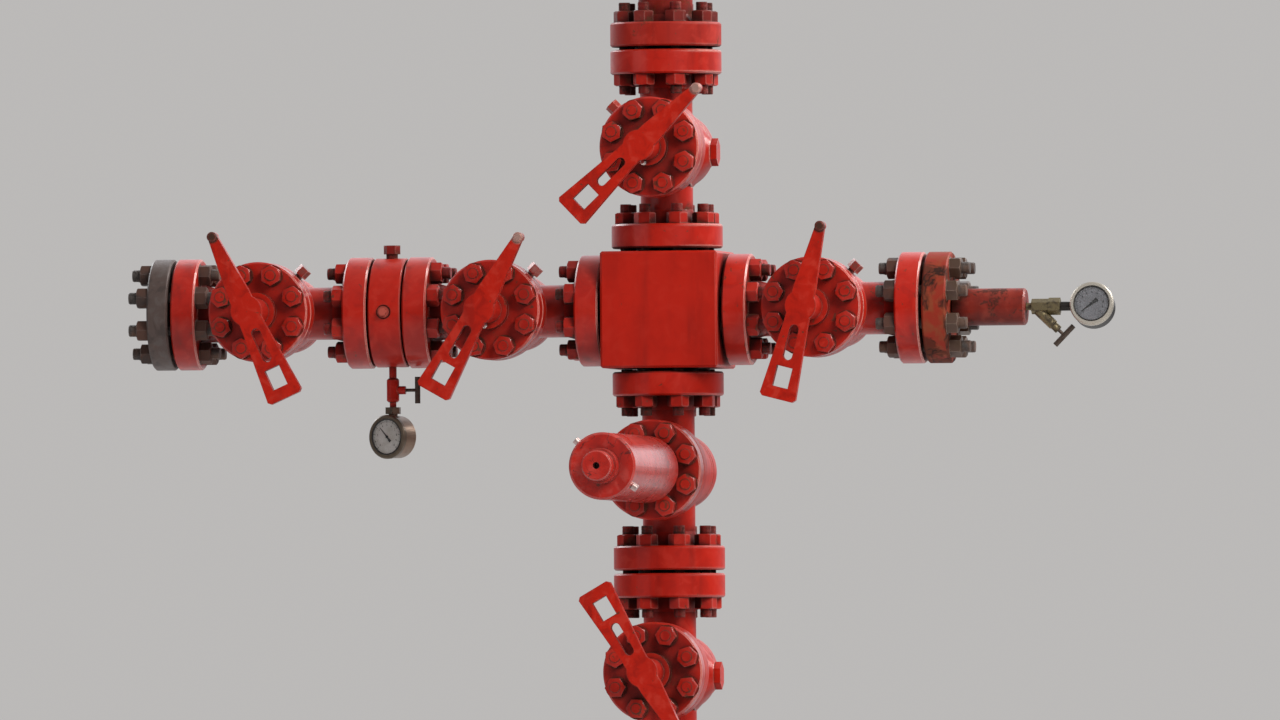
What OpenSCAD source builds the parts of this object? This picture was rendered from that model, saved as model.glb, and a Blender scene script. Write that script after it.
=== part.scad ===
// Oil wellhead valve stack: a red flanged tree of six valves round a square block,
// on an adapter, a tubing head and a casing head that stand on a base plate.
// The run's axis is Z, the arms lie along X, and every valve stem points to -Y.

/* [Flanges] */
// Outside diameter of the tree's flanges
flange_od = 267; // [250:1:290]
// Thickness of the tree's flanges
flange_t = 58; // [50:1:64]
// Stand-off between two mating faces, filled by the ring gasket
face_gap = 8; // [5:1:12]
// Mean diameter of the ring gaskets in the tree
gasket_d = 136; // [128:1:150]
// Radial width of a ring gasket
gasket_w = 13; // [8:1:16]
// Edge chamfer on every flange
flange_chamfer = 4; // [2:1:6]

/* [Block] */
// Side of the square block
block_side = 284; // [276:2:320]
// Height of the square block
block_h = 280; // [270:2:320]
// Bevel on the block's edges
block_bevel = 5; // [2:1:10]

/* [Valves] */
// Face-to-face length of a valve
valve_l = 476; // [450:1:520]
// Diameter of the necks between barrel and end flanges
neck_d = 126; // [110:1:136]
// Length of the tapered hub behind an end flange
hub_l = 34; // [20:1:45]
// Outside diameter of the bonnet and of the body flange under it
bonnet_od = 240; // [226:1:250]
// Thickness of the bonnet
bonnet_t = 52; // [44:1:60]
// Distance from the run's axis to the bonnet's outer face
bonnet_reach = 270; // [262:1:290]
// Gap between the bonnet and the body flange
bonnet_gap = 4; // [3:1:8]
// Thickness of the body flange under the bonnet
seat_t = 54; // [45:1:60]
// Diameter of the barrel where it leaves the body flange
barrel_d = 184; // [174:1:200]
// Distance from the run's axis to the barrel's rear end
barrel_back = 104; // [96:1:112]
// Diameter of the rear cover
cover_od = 186; // [178:1:204]
// Thickness of the rear cover
cover_t = 46; // [34:1:54]
// Distance from the stem's axis to the end of the side plug's cap
plug_reach = 126; // [120:1:138]
// Across flats of the side plug's cap
plug_af = 58; // [50:1:62]

// Diameter of the raised joint face between bonnet and body flange
joint_d = 150; // [130:1:156]

/* [Stem and lever] */
// Diameter of the boss on the bonnet
boss_d = 92; // [84:1:98]
// Height of the boss
boss_h = 30; // [20:1:40]
// Diameter of the stem housing
housing_d = 66; // [56:1:72]
// Distance from the bonnet's face to the end of the stem housing
housing_l = 125; // [110:1:135]
// Distance from the bonnet's face to the lever's front face
lever_stand = 164; // [155:1:180]
// Thickness of the lever
lever_t = 20; // [16:1:24]
// Diameter of the valve stem
stem_d = 32; // [26:1:36]
// Length of stem held in the housing
stem_hold = 60; // [40:1:80]
// Distance from the stem to the lever's slotted end
fork_l = 230; // [215:1:245]
// Width of the slotted end
fork_w = 88; // [74:1:94]
// Distance from the stem to the narrow end
tip_l = 195; // [190:1:220]
// Width of the lever's hub
lever_hub_w = 74; // [66:1:84]
// Width of the lever's narrow end
tip_w = 22; // [18:1:26]
// Length of the pin at the narrow end
pin_l = 36; // [28:1:60]
// Diameter of the pin
pin_d = 24; // [20:1:28]

/* [Actuator] */
// Diameter of the actuator cylinder
actuator_d = 160; // [150:1:176]
// Length of the actuator cylinder
actuator_l = 651; // [560:1:680]
// Length of the neck between bonnet and cylinder
actuator_neck_l = 84; // [60:1:100]
// Diameter of the hub on the front of the cylinder
actuator_hub_d = 72; // [64:1:84]
// Length of that hub
actuator_hub_l = 86; // [60:1:100]
// Diameter of the port in the hub
actuator_port_d = 16; // [14:1:20]

// Diameter of the neck between bonnet and cylinder
actuator_neck_d = 90; // [80:1:110]

/* [Left arm] */
// Thickness of the gauge spacer between the left arm's two valves
spacer_t = 78; // [72:1:96]
// Stand-off between the spacer and each of its neighbours
spacer_gap = 5; // [4:1:8]
// Outside diameter of the gauge spacer
spacer_od = 262; // [252:1:267]
// Diameter of the plugs' hubs and of the collar round each connection on the spacer
plug_d = 28; // [22:1:32]
// Diameter of the spot faces that they seat on
spot_d = 34; // [33:1:40]
// Depth of the spot faces
spot_depth = 3; // [2:0.5:5]
// Thickness of the blind flange that closes the left arm
blind_t = 50; // [44:1:58]

/* [Right arm] */
// Outside diameter of the closed stub pipe
stub_d = 89; // [80:1:94]
// Length of the stub pipe from the companion flange
stub_l = 178; // [150:1:200]

/* [Gauges] */
// Outside diameter of a gauge case
gauge_d = 106; // [96:1:112]
// Depth of a gauge case
gauge_t = 58; // [44:1:62]
// Width of the bezel
bezel_w = 9; // [6:1:11]
// Diameter of a needle valve's body
needle_d = 30; // [28:1:36]
// Length of a needle valve's body
needle_l = 58; // [54:1:70]
// Diameter of the gauge nipples
nipple_d = 18; // [14:1:20]
// Length of a needle valve's T handle
tee_l = 64; // [50:1:72]
// Diameter of the T handle's bar
tee_d = 13; // [10:1:15]

/* [Tree cap] */
// Diameter of the cap adapter's neck
cap_neck_d = 130; // [116:1:136]
// Height of the neck up to the union nut
cap_neck_h = 71; // [60:1:120]
// Diameter of the union nut
cap_nut_d = 170; // [160:1:190]
// Height of the union nut
cap_nut_h = 100; // [80:1:110]

/* [Wellhead] */
// Height of the tubing adapter
adapter_h = 234; // [220:1:300]
// Outside diameter of the flange between tubing adapter and tubing head
mid_flange_od = 394; // [380:1:410]
// Thickness of that flange
mid_flange_t = 92; // [80:1:100]
// Height of the tubing head
tubing_head_h = 530; // [500:5:560]
// Body diameter of the tubing head
tubing_head_d = 330; // [300:1:340]
// Outside diameter of the flange between tubing head and casing head
low_flange_od = 546; // [530:1:560]
// Thickness of that flange
low_flange_t = 70; // [64:1:90]
// Height of the casing head above the base plate
casing_head_h = 490; // [480:2:540]
// Body diameter of the casing head
casing_head_d = 406; // [380:1:420]
// Outside diameter of the side outlets' flanges
outlet_od = 216; // [200:1:222]
// Thickness of the side outlets' flanges
outlet_t = 46; // [40:1:50]
// Diameter of the side outlets' necks
outlet_d = 118; // [100:1:124]
// Distance from the axis to a tubing head outlet's face
tubing_outlet_reach = 290; // [280:1:310]
// Distance from the axis to a casing head outlet's face
casing_outlet_reach = 330; // [320:1:350]
// Diameter of the base plate
base_d = 760; // [700:5:800]
// Thickness of the base plate
base_t = 30; // [20:1:40]
// Height of the gussets on the base plate
gusset_h = 130; // [100:1:160]
// Thickness of a gusset
gusset_t = 20; // [14:1:26]

/* [Hidden] */
$fn = 64;
running_gap = 0.3;
stem_bore = stem_d + 2 * running_gap;

// Angle of each lever's slotted end in the front view, counted from straight down
outer_lever_angle = 24.4;
inner_lever_angle = -29.7;
right_lever_angle = -14.5;
swab_lever_angle = -46.2;
lower_lever_angle = 210.4;

// Heights, built up from the ground
casing_top_z = base_t + casing_head_h;
tubing_head_z = casing_top_z + face_gap;
tubing_top_z = tubing_head_z + tubing_head_h;
adapter_z = tubing_top_z + face_gap;
adapter_top_z = adapter_z + adapter_h;
lower_master_z = adapter_top_z + face_gap + valve_l / 2;
casing_outlet_z = base_t + gusset_h + 20 + outlet_od / 2;
tubing_outlet_z = tubing_head_z + low_flange_t + 44 + outlet_od / 2;
upper_master_z = lower_master_z + valve_l + face_gap;
block_z = upper_master_z + valve_l / 2 + face_gap + block_h / 2;
swab_z = block_z + block_h / 2 + face_gap + valve_l / 2;
cap_z = swab_z + valve_l / 2 + face_gap;

// Places along the arms
arm_start = block_side / 2 + face_gap;
wing_x = arm_start + valve_l / 2;
inner_end_x = arm_start + valve_l;
spacer_x = inner_end_x + spacer_gap + spacer_t / 2;
outer_start_x = spacer_x + spacer_t / 2 + spacer_gap;
outer_x = outer_start_x + valve_l / 2;
blind_x = outer_start_x + valve_l + face_gap;
companion_x = inner_end_x + face_gap;
stub_x = companion_x + flange_t;
stub_end_x = stub_x + stub_l;

// Places along a valve's stem
seat_y = bonnet_reach - bonnet_t - bonnet_gap;
barrel_y = seat_y - seat_t;
lever_back_y = bonnet_reach + lever_stand - lever_t;

// Places on the actuator
actuator_y = bonnet_reach + actuator_neck_l;
actuator_end_y = actuator_y + actuator_l;

spot_reach = spacer_od / 2 - spot_depth;

// Places of the left gauge below the spacer
left_nipple_l = 29;
left_needle_z = block_z - spot_reach - left_nipple_l - needle_l / 2;
left_neck_l = 12;
left_nut_l = 16;
left_nut_gap = 2;
left_gauge_z = left_needle_z - needle_l / 2 - left_neck_l - left_nut_l - left_nut_gap - gauge_d / 2;
left_gauge_turn = -26;
left_tee_x = 60;

// Places of the right gauge beyond the stub pipe
right_nipple_l = 13;
right_body_af = 32;
right_body_l = 41;
right_nut_af = 36;
right_nut_l = 28;
right_body_x = stub_end_x + right_nipple_l;
right_neck_l = 26;
right_gauge_x = right_body_x + right_body_l + right_nut_l + right_neck_l + gauge_d / 2;
right_gauge_tilt = 12;
branch_x = right_body_x + 14;
branch_z = block_z - 8;
branch_angle = 44;
branch_d = 25;
branch_l = 54;
gland_d = 20;
gland_l = 16;
spindle_d = 8;
spindle_hold = 12;
right_spindle_l = 19;
left_spindle_l = left_tee_x - needle_d / 2 - gland_l;

RED = "firebrick";
DARK = "dimgray";
STEEL = "silver";
BRASS = "darkkhaki";

// A disc with both edges chamfered, standing on z = 0
module chamfered_disc(d, t, c = flange_chamfer) {
    rotate_extrude()
        polygon([[0, 0], [d / 2 - c, 0], [d / 2, c], [d / 2, t - c], [d / 2 - c, t], [0, t]]);
}

// A hexagonal bar standing on z = 0
module hex_bar(af, h) {
    cylinder(d = af / cos(30), h = h, $fn = 6);
}

// Turns a piece that stands along Z so that it points to the front
module to_front() {
    rotate([90, 0, 0]) children();
}

// An end flange with its tapered hub, its face at z = 0 and the neck running to z = -depth
module flange_end(depth) {
    translate([0, 0, -flange_t]) chamfered_disc(flange_od, flange_t);
    translate([0, 0, -flange_t - hub_l])
        cylinder(d1 = neck_d, d2 = neck_d + hub_l, h = hub_l + flange_t / 2);
    translate([0, 0, -depth]) cylinder(d = neck_d, h = depth - flange_t / 2);
}

// The valve's casting, with its flow along X and its stem towards -Y
module valve_body() {
    cover_gap = 4;
    cover_neck = barrel_d - 12;
    for (side = [0, 180])
        rotate([0, 90 + side, 0]) translate([0, 0, valve_l / 2]) flange_end(valve_l / 2);
    to_front() {
        translate([0, 0, barrel_y]) chamfered_disc(bonnet_od, seat_t);
        translate([0, 0, -barrel_back - 1]) cylinder(d = barrel_d, h = barrel_y + barrel_back + 2);
        translate([0, 0, -barrel_back]) chamfered_disc(cover_od, cover_t / 2);
        translate([0, 0, -barrel_back - cover_gap - 1]) cylinder(d = cover_neck, h = cover_gap + 2);
        translate([0, 0, -barrel_back - cover_gap - cover_t]) chamfered_disc(cover_od, cover_t);
    }
}

// The conical pad and hex cap on a run valve's right side, a little below its middle
module side_plug() {
    cap_h = 16;
    drop = 8;
    pad_start = 62;
    pad_end = plug_reach - cap_h;
    translate([0, 0, -drop]) rotate([0, 90, 0]) {
        translate([0, 0, pad_start])
            cylinder(d1 = barrel_d - 16, d2 = plug_af + 8, h = pad_end - pad_start);
        translate([0, 0, pad_end - 1]) hex_bar(plug_af, cap_h + 1);
    }
}

// The hex-headed injection fitting on the rim of the body flange
module injection_fitting(angle) {
    stalk_l = 10;
    head_h = 22;
    head_af = 29;
    rotate([0, angle, 0]) translate([0, -barrel_y - seat_t / 2, bonnet_od / 2 - 4]) {
        cylinder(d = 18, h = stalk_l);
        translate([0, 0, stalk_l]) hex_bar(head_af, head_h);
    }
}

// The bonnet's disc, on its raised joint face
module bonnet_disc() {
    translate([0, 0, seat_y]) cylinder(d = joint_d, h = bonnet_gap + 1);
    translate([0, 0, bonnet_reach - bonnet_t]) chamfered_disc(bonnet_od, bonnet_t);
}

// The round bonnet, with its boss and stem housing
module valve_bonnet() {
    to_front() difference() {
        union() {
            bonnet_disc();
            translate([0, 0, bonnet_reach - 1]) cylinder(d = boss_d, h = boss_h + 1);
            translate([0, 0, bonnet_reach - 1]) chamfered_disc(housing_d, housing_l + 1, 3);
        }
        translate([0, 0, lever_back_y - stem_hold - 1]) cylinder(d = stem_bore, h = stem_hold);
    }
}

// Outline of the lever: narrow arm, round hub and widening slotted arm, along +X
module lever_outline() {
    arm_w = 53;
    fork_start_w = 58;
    arm_start_u = 44;
    corner = 7;
    polygon([
        [-tip_l, -tip_w / 2], [-arm_start_u, -arm_w / 2], [arm_start_u, -fork_start_w / 2],
        [fork_l - corner, -fork_w / 2], [fork_l, -fork_w / 2 + corner],
        [fork_l, fork_w / 2 - corner], [fork_l - corner, fork_w / 2],
        [arm_start_u, fork_start_w / 2], [-arm_start_u, arm_w / 2], [-tip_l, tip_w / 2]
    ]);
    circle(d = lever_hub_w);
}

// The two windows in the slotted arm
module lever_windows() {
    slot_w = 22;
    slot_start = 48;
    slot_end = 134;
    frame_w = 38;
    frame_start = slot_end + 17;
    frame_end = fork_l - 29;
    for (u = [slot_start + slot_w / 2, slot_end - slot_w / 2]) translate([u, 0]) circle(d = slot_w);
    translate([slot_start + slot_w / 2, -slot_w / 2]) square([slot_end - slot_start - slot_w, slot_w]);
    translate([frame_start, -frame_w / 2]) square([frame_end - frame_start, frame_w]);
}

// The lever on its stem, with the stem along -Y and the slotted end at the given angle
module valve_lever(angle) {
    rotate([0, 90 - angle, 0]) to_front() translate([0, 0, lever_back_y]) {
        linear_extrude(lever_t) difference() {
            lever_outline();
            lever_windows();
        }
        translate([0, 0, -stem_hold]) cylinder(d = stem_d, h = stem_hold + 1);
        translate([-tip_l, 0, (lever_t - pin_l) / 2]) chamfered_disc(pin_d, pin_l, 3);
    }
}

// A valve piece at its place: turn is 0 on an arm and 90 on the run
module at_arm(x) {
    translate([x, 0, block_z]) children();
}

module at_run(z) {
    translate([0, 0, z]) rotate([0, -90, 0]) children();
}

module base_plate() {
    color(DARK) chamfered_disc(base_d, base_t, 3);
}

// One blind flange over a side outlet, its face at the given distance along X
module outlet_blind(reach, z) {
    for (side = [0, 180])
        rotate(side) translate([reach + face_gap, 0, z]) rotate([0, 90, 0])
            chamfered_disc(outlet_od, outlet_t);
}

// Lockdown screws round a head's top flange, their heads standing out from its rim
module lockdown_screws(od, z) {
    screws = 8;
    gland_af = 41;
    gland_out = 26;
    screw_out = 20;
    for (i = [0:screws - 1])
        rotate(i * 360 / screws) translate([od / 2 - 6, 0, z]) rotate([0, 90, 0]) {
            hex_bar(gland_af, gland_out + 6);
            translate([0, 0, gland_out + 5]) cylinder(d = 22, h = screw_out + 1);
        }
}

// Two side outlets through a body, with their flanges
module side_outlets(reach, z) {
    for (side = [0, 180])
        rotate(side) translate([0, 0, z]) rotate([0, 90, 0]) {
            cylinder(d = outlet_d, h = reach - outlet_t / 2);
            translate([0, 0, reach - outlet_t - 20]) cylinder(d1 = outlet_d, d2 = outlet_d + 26, h = 21);
            translate([0, 0, reach - outlet_t]) chamfered_disc(outlet_od, outlet_t);
        }
}

module casing_head() {
    gussets = 8;
    color(RED) {
        translate([0, 0, base_t]) cylinder(d = casing_head_d, h = casing_head_h - low_flange_t / 2);
        translate([0, 0, casing_top_z - low_flange_t]) chamfered_disc(low_flange_od, low_flange_t);
        side_outlets(casing_outlet_reach, casing_outlet_z);
        lockdown_screws(low_flange_od, casing_top_z - low_flange_t / 2);
        for (i = [0:gussets - 1])
            rotate(i * 360 / gussets + 180 / gussets) translate([0, gusset_t / 2, base_t])
                rotate([90, 0, 0]) linear_extrude(gusset_t)
                    polygon([
                        [casing_head_d / 2 - 10, 0], [base_d / 2 - 12, 0], [base_d / 2 - 12, 16],
                        [casing_head_d / 2 + 14, gusset_h], [casing_head_d / 2 - 10, gusset_h]
                    ]);
    }
}

module casing_outlet_blinds() {
    color(RED) outlet_blind(casing_outlet_reach, casing_outlet_z);
}

module tubing_head() {
    cone_h = 40;
    cone_w = 70;
    color(RED) {
        translate([0, 0, tubing_head_z]) chamfered_disc(low_flange_od, low_flange_t);
        translate([0, 0, tubing_head_z + low_flange_t / 2])
            cylinder(d = tubing_head_d, h = tubing_head_h - low_flange_t);
        translate([0, 0, tubing_head_z + low_flange_t])
            cylinder(d1 = tubing_head_d + cone_w, d2 = tubing_head_d, h = cone_h);
        translate([0, 0, tubing_top_z - mid_flange_t]) chamfered_disc(mid_flange_od, mid_flange_t);
        side_outlets(tubing_outlet_reach, tubing_outlet_z);
        lockdown_screws(mid_flange_od, tubing_top_z - mid_flange_t / 2);
    }
}

module tubing_outlet_blinds() {
    color(RED) outlet_blind(tubing_outlet_reach, tubing_outlet_z);
}

module tubing_adapter() {
    cone_h = 70;
    cone_w = 90;
    color(RED) {
        translate([0, 0, adapter_z]) chamfered_disc(mid_flange_od, mid_flange_t);
        translate([0, 0, adapter_z + mid_flange_t - 1])
            cylinder(d1 = neck_d + cone_w, d2 = neck_d, h = cone_h);
        translate([0, 0, adapter_top_z]) flange_end(adapter_h - mid_flange_t / 2);
    }
}

module lower_master_body() {
    color(RED) {
        at_run(lower_master_z) valve_body();
        translate([0, 0, lower_master_z]) side_plug();
    }
}

module lower_master_bonnet() {
    color(RED) at_run(lower_master_z) valve_bonnet();
}

module lower_master_lever() {
    color(RED) translate([0, 0, lower_master_z]) valve_lever(lower_lever_angle);
}

module upper_master_body() {
    color(RED) at_run(upper_master_z) valve_body();
}

// The upper master's bonnet carries the actuator's neck and no lever
module upper_master_bonnet() {
    color(RED) translate([0, 0, upper_master_z]) to_front() {
        bonnet_disc();
        translate([0, 0, bonnet_reach - 1]) cylinder(d = actuator_neck_d, h = actuator_neck_l + 1);
    }
}

module actuator_cylinder() {
    edge = 5;
    port_r = 9;
    port_back = 40;
    port_reach = 14;
    color(RED) translate([0, 0, upper_master_z]) to_front() {
        translate([0, 0, actuator_y]) chamfered_disc(actuator_d, actuator_l, edge);
        for (a = [138, -35])
            rotate(a) translate([actuator_d / 2 - 3, 0, actuator_end_y - port_back]) rotate([0, 90, 0])
                cylinder(r = port_r, h = port_reach + 3);
    }
}

module actuator_hub() {
    step = 12;
    port_l = 40;
    color(RED) translate([0, 0, upper_master_z]) to_front() translate([0, 0, actuator_end_y])
        difference() {
            union() {
                cylinder(d = actuator_hub_d + step, h = actuator_hub_l / 2);
                chamfered_disc(actuator_hub_d, actuator_hub_l, 3);
            }
            translate([0, 0, actuator_hub_l - port_l]) cylinder(d = actuator_port_d, h = port_l + 1);
        }
}

// The square block, every edge bevelled
module cross_block() {
    cut = 2 * block_bevel;
    color(RED) translate([0, 0, block_z]) intersection() {
        cube([block_side, block_side, block_h], center = true);
        rotate(45) cube([sqrt(2) * block_side - sqrt(2) * block_bevel,
            sqrt(2) * block_side - sqrt(2) * block_bevel, block_h], center = true);
        bevelled_bars(cut);
    }
}

// The block's section with bevelled corners, pushed through it along X and along Y
module bevelled_bars(cut) {
    intersection() {
        rotate([90, 0, 0]) linear_extrude(block_side, center = true) bevelled_section(cut);
        rotate([90, 0, 90]) linear_extrude(block_side, center = true) bevelled_section(cut);
    }
}

module bevelled_section(cut) {
    w = block_side / 2;
    h = block_h / 2;
    c = cut / 2;
    polygon([[w, h - c], [w - c, h], [c - w, h], [-w, h - c], [-w, c - h], [c - w, -h], [w - c, -h], [w, c - h]]);
}

module swab_body() {
    color(RED) {
        at_run(swab_z) valve_body();
        translate([0, 0, swab_z]) {
            side_plug();
            injection_fitting(-45);
        }
    }
}

module swab_bonnet() {
    color(RED) at_run(swab_z) valve_bonnet();
}

module swab_lever() {
    color(RED) translate([0, 0, swab_z]) valve_lever(swab_lever_angle);
}

cap_nut_z = cap_z + flange_t + cap_neck_h;
cap_seat_d = cap_neck_d - 20;

module cap_adapter() {
    color(RED) translate([0, 0, cap_z]) {
        chamfered_disc(flange_od, flange_t);
        cylinder(d = cap_neck_d, h = flange_t + cap_neck_h);
        translate([0, 0, flange_t - 1]) cylinder(d1 = cap_neck_d + 22, d2 = cap_neck_d, h = 20);
    }
}

// The union nut with four hammer lugs, bored for the plug that it holds down
module cap_nut() {
    lug_w = 34;
    lug_l = 26;
    color(RED) translate([0, 0, cap_nut_z]) difference() {
        union() {
            chamfered_disc(cap_nut_d, cap_nut_h, 6);
            for (i = [0:3]) rotate(i * 90 + 45)
                translate([cap_nut_d / 2 - 8, -lug_w / 2, cap_nut_h * 0.2])
                    cube([lug_l + 8, lug_w, cap_nut_h * 0.6]);
        }
        translate([0, 0, -1]) cylinder(d = cap_seat_d + 2 * running_gap, h = cap_nut_h + 2);
    }
}

// The blanking plug, with a hex head and a test port
module cap_plug() {
    head_h = 34;
    head_af = 60;
    port_d = 20;
    port_l = 30;
    color(RED) translate([0, 0, cap_nut_z]) difference() {
        union() {
            cylinder(d = cap_seat_d, h = cap_nut_h + 8);
            translate([0, 0, cap_nut_h + 7]) hex_bar(head_af, head_h + 1);
        }
        translate([0, 0, cap_nut_h + 8 + head_h - port_l]) cylinder(d = port_d, h = port_l + 1);
    }
}

module inner_wing_body() {
    color(RED) at_arm(-wing_x) {
        valve_body();
        injection_fitting(45);
    }
}

module inner_wing_bonnet() {
    color(RED) at_arm(-wing_x) valve_bonnet();
}

module inner_wing_lever() {
    color(RED) at_arm(-wing_x) valve_lever(inner_lever_angle);
}

// The spacer, with a spot face at its top, its front and its bottom
module gauge_spacer() {
    color(RED) translate([-spacer_x, 0, block_z]) difference() {
        translate([-spacer_t / 2, 0, 0]) rotate([0, 90, 0]) chamfered_disc(spacer_od, spacer_t, 3);
        for (turn = [0, 90, 180])
            rotate([turn, 0, 0]) translate([0, 0, spot_reach]) cylinder(d = spot_d, h = spot_depth + 1);
    }
}

// A plug with a hex head on its hub, standing on z = 0
module hex_plug(hub_h, head_h, af) {
    cylinder(d = plug_d, h = hub_h + 1);
    translate([0, 0, hub_h]) hex_bar(af, head_h);
}

module spacer_plugs() {
    color(RED) translate([-spacer_x, 0, block_z]) {
        translate([0, 0, spot_reach]) hex_plug(13, 21, 35);
        to_front() translate([0, 0, spot_reach]) hex_plug(10, 10, 18);
    }
}

module outer_wing_body() {
    color(RED) at_arm(-outer_x) {
        valve_body();
        injection_fitting(45);
    }
}

module outer_wing_bonnet() {
    color(RED) at_arm(-outer_x) valve_bonnet();
}

module outer_wing_lever() {
    color(RED) at_arm(-outer_x) valve_lever(outer_lever_angle);
}

module blind_flange() {
    color(DARK) translate([-blind_x - blind_t, 0, block_z]) rotate([0, 90, 0])
        chamfered_disc(flange_od, blind_t);
}

// A heavy nut, chamfered on top, with the end of its stud, standing on z = 0
module nut_on_stud() {
    nut_af = 46;
    nut_h = 28;
    stud_end_d = 26;
    stud_reach = 48;
    top_r = nut_af * 0.47;
    intersection() {
        hex_bar(nut_af, nut_h);
        cylinder(r1 = top_r + nut_h * tan(60), r2 = top_r, h = nut_h);
    }
    translate([0, 0, nut_h - 1]) cylinder(d = stud_end_d, h = stud_reach - nut_h + 1);
}

// The eight nuts and stud ends on the blind flange's outer face
module blind_fasteners() {
    bolts = 8;
    bolt_circle = 203.2;
    turn = 17;
    color(DARK) translate([-blind_x - blind_t, 0, block_z]) rotate([0, -90, 0])
        for (i = [0:bolts - 1])
            rotate((i + 0.5) * 360 / bolts) translate([bolt_circle / 2, 0, 0])
                rotate(i * turn) nut_on_stud();
}

module right_wing_body() {
    color(RED) at_arm(wing_x) {
        valve_body();
        injection_fitting(45);
    }
}

module right_wing_bonnet() {
    color(RED) at_arm(wing_x) valve_bonnet();
}

module right_wing_lever() {
    color(RED) at_arm(wing_x) valve_lever(right_lever_angle);
}

module companion_flange() {
    color("sienna") translate([companion_x, 0, block_z]) rotate([0, 90, 0])
        chamfered_disc(flange_od, flange_t);
}

module stub_pipe() {
    color(RED) translate([stub_x, 0, block_z]) rotate([0, 90, 0]) chamfered_disc(stub_d, stub_l, 4);
}

// A packing gland round a needle valve's spindle, standing on z = 0
module gland() {
    difference() {
        cylinder(d = gland_d, h = gland_l);
        translate([0, 0, gland_l - spindle_hold])
            cylinder(d = spindle_d + 2 * running_gap, h = spindle_hold + 1);
    }
}

// A T handle on its spindle: the gland's mouth is at z = 0 and the bar lies along X
module tee_handle(spindle_l) {
    translate([0, 0, -spindle_hold]) cylinder(d = spindle_d, h = spindle_hold + spindle_l);
    translate([-tee_l / 2, 0, spindle_l]) rotate([0, 90, 0]) cylinder(d = tee_d, h = tee_l);
}

// The needle valve under the spacer: nipple, body, gauge connection and packing gland
module left_needle_valve() {
    color(RED) translate([-spacer_x, 0, left_needle_z]) {
        translate([0, 0, needle_l / 2 - 1]) cylinder(d = nipple_d, h = left_nipple_l + 1);
        translate([0, 0, -needle_l / 2]) chamfered_disc(needle_d, needle_l, 4);
        translate([0, 0, -needle_l / 2 - left_neck_l]) cylinder(d = nipple_d - 2, h = left_neck_l + 1);
        rotate([0, 90, 0]) {
            cylinder(d = gland_d, h = needle_d / 2);
            translate([0, 0, needle_d / 2]) gland();
        }
    }
}

module left_needle_handle() {
    color(DARK) translate([-spacer_x + needle_d / 2 + gland_l, 0, left_needle_z]) rotate([0, 90, 0])
        tee_handle(left_spindle_l);
}

// A round gauge case facing -Y, centred on the origin, open at the front for its dial
module gauge_case() {
    dial_depth = 10;
    to_front() translate([0, 0, -gauge_t / 2]) difference() {
        union() {
            chamfered_disc(gauge_d - 4, gauge_t - 2, 6);
            translate([0, 0, gauge_t - 14]) chamfered_disc(gauge_d, 14, 3);
        }
        translate([0, 0, gauge_t - dial_depth])
            cylinder(d = gauge_d - 2 * bezel_w, h = dial_depth + 1);
    }
}

// The dial plate and glass that fill the case's front
module gauge_dial() {
    to_front() translate([0, 0, gauge_t / 2 - 10]) cylinder(d = gauge_d - 2 * bezel_w, h = 7);
}

module left_gauge_case() {
    socket_d = 22;
    socket_in = 8;
    nut_af = 34;
    color(STEEL) translate([-spacer_x, 0, left_gauge_z]) {
        rotate(left_gauge_turn) gauge_case();
        translate([0, 0, gauge_d / 2 - socket_in]) cylinder(d = socket_d, h = socket_in + left_nut_gap + 1);
        translate([0, 0, gauge_d / 2 + left_nut_gap]) rotate(30) hex_bar(nut_af, left_nut_l);
    }
}

module left_gauge_dial() {
    color("white") translate([-spacer_x, 0, left_gauge_z]) rotate(left_gauge_turn) gauge_dial();
}

// The needle valve at the end of the stub pipe, with its branch pointing down and outwards
module right_needle_valve() {
    color(BRASS) {
        translate([stub_end_x, 0, block_z]) rotate([0, 90, 0]) {
            cylinder(d = nipple_d, h = right_nipple_l + 1);
            translate([0, 0, right_nipple_l]) hex_bar(right_body_af, right_body_l + 1);
            translate([0, 0, right_nipple_l + right_body_l]) hex_bar(right_nut_af, right_nut_l);
        }
        translate([branch_x, 0, branch_z]) rotate([0, 90 + branch_angle, 0]) {
            chamfered_disc(branch_d, branch_l, 2);
            translate([0, 0, branch_l]) gland();
        }
    }
}

module right_needle_handle() {
    color(DARK) translate([branch_x, 0, branch_z]) rotate([0, 90 + branch_angle, 0])
        translate([0, 0, branch_l + gland_l]) tee_handle(right_spindle_l);
}

module right_gauge_case() {
    socket_d = 22;
    color(STEEL) translate([right_gauge_x, 0, block_z]) {
        rotate([-right_gauge_tilt, 0, 0]) gauge_case();
        rotate([0, -90, 0]) translate([0, 0, gauge_d / 2 - 6]) cylinder(d = socket_d, h = right_neck_l + 6);
    }
}

module right_gauge_dial() {
    color("white") translate([right_gauge_x, 0, block_z]) rotate([-right_gauge_tilt, 0, 0])
        gauge_dial();
}

// One ring gasket of the given mean diameter, filling a gap that starts at z = 0
module gasket(mean_d, gap = face_gap) {
    difference() {
        cylinder(d = mean_d + gasket_w, h = gap);
        translate([0, 0, -1]) cylinder(d = mean_d - gasket_w, h = gap + 2);
    }
}

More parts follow.
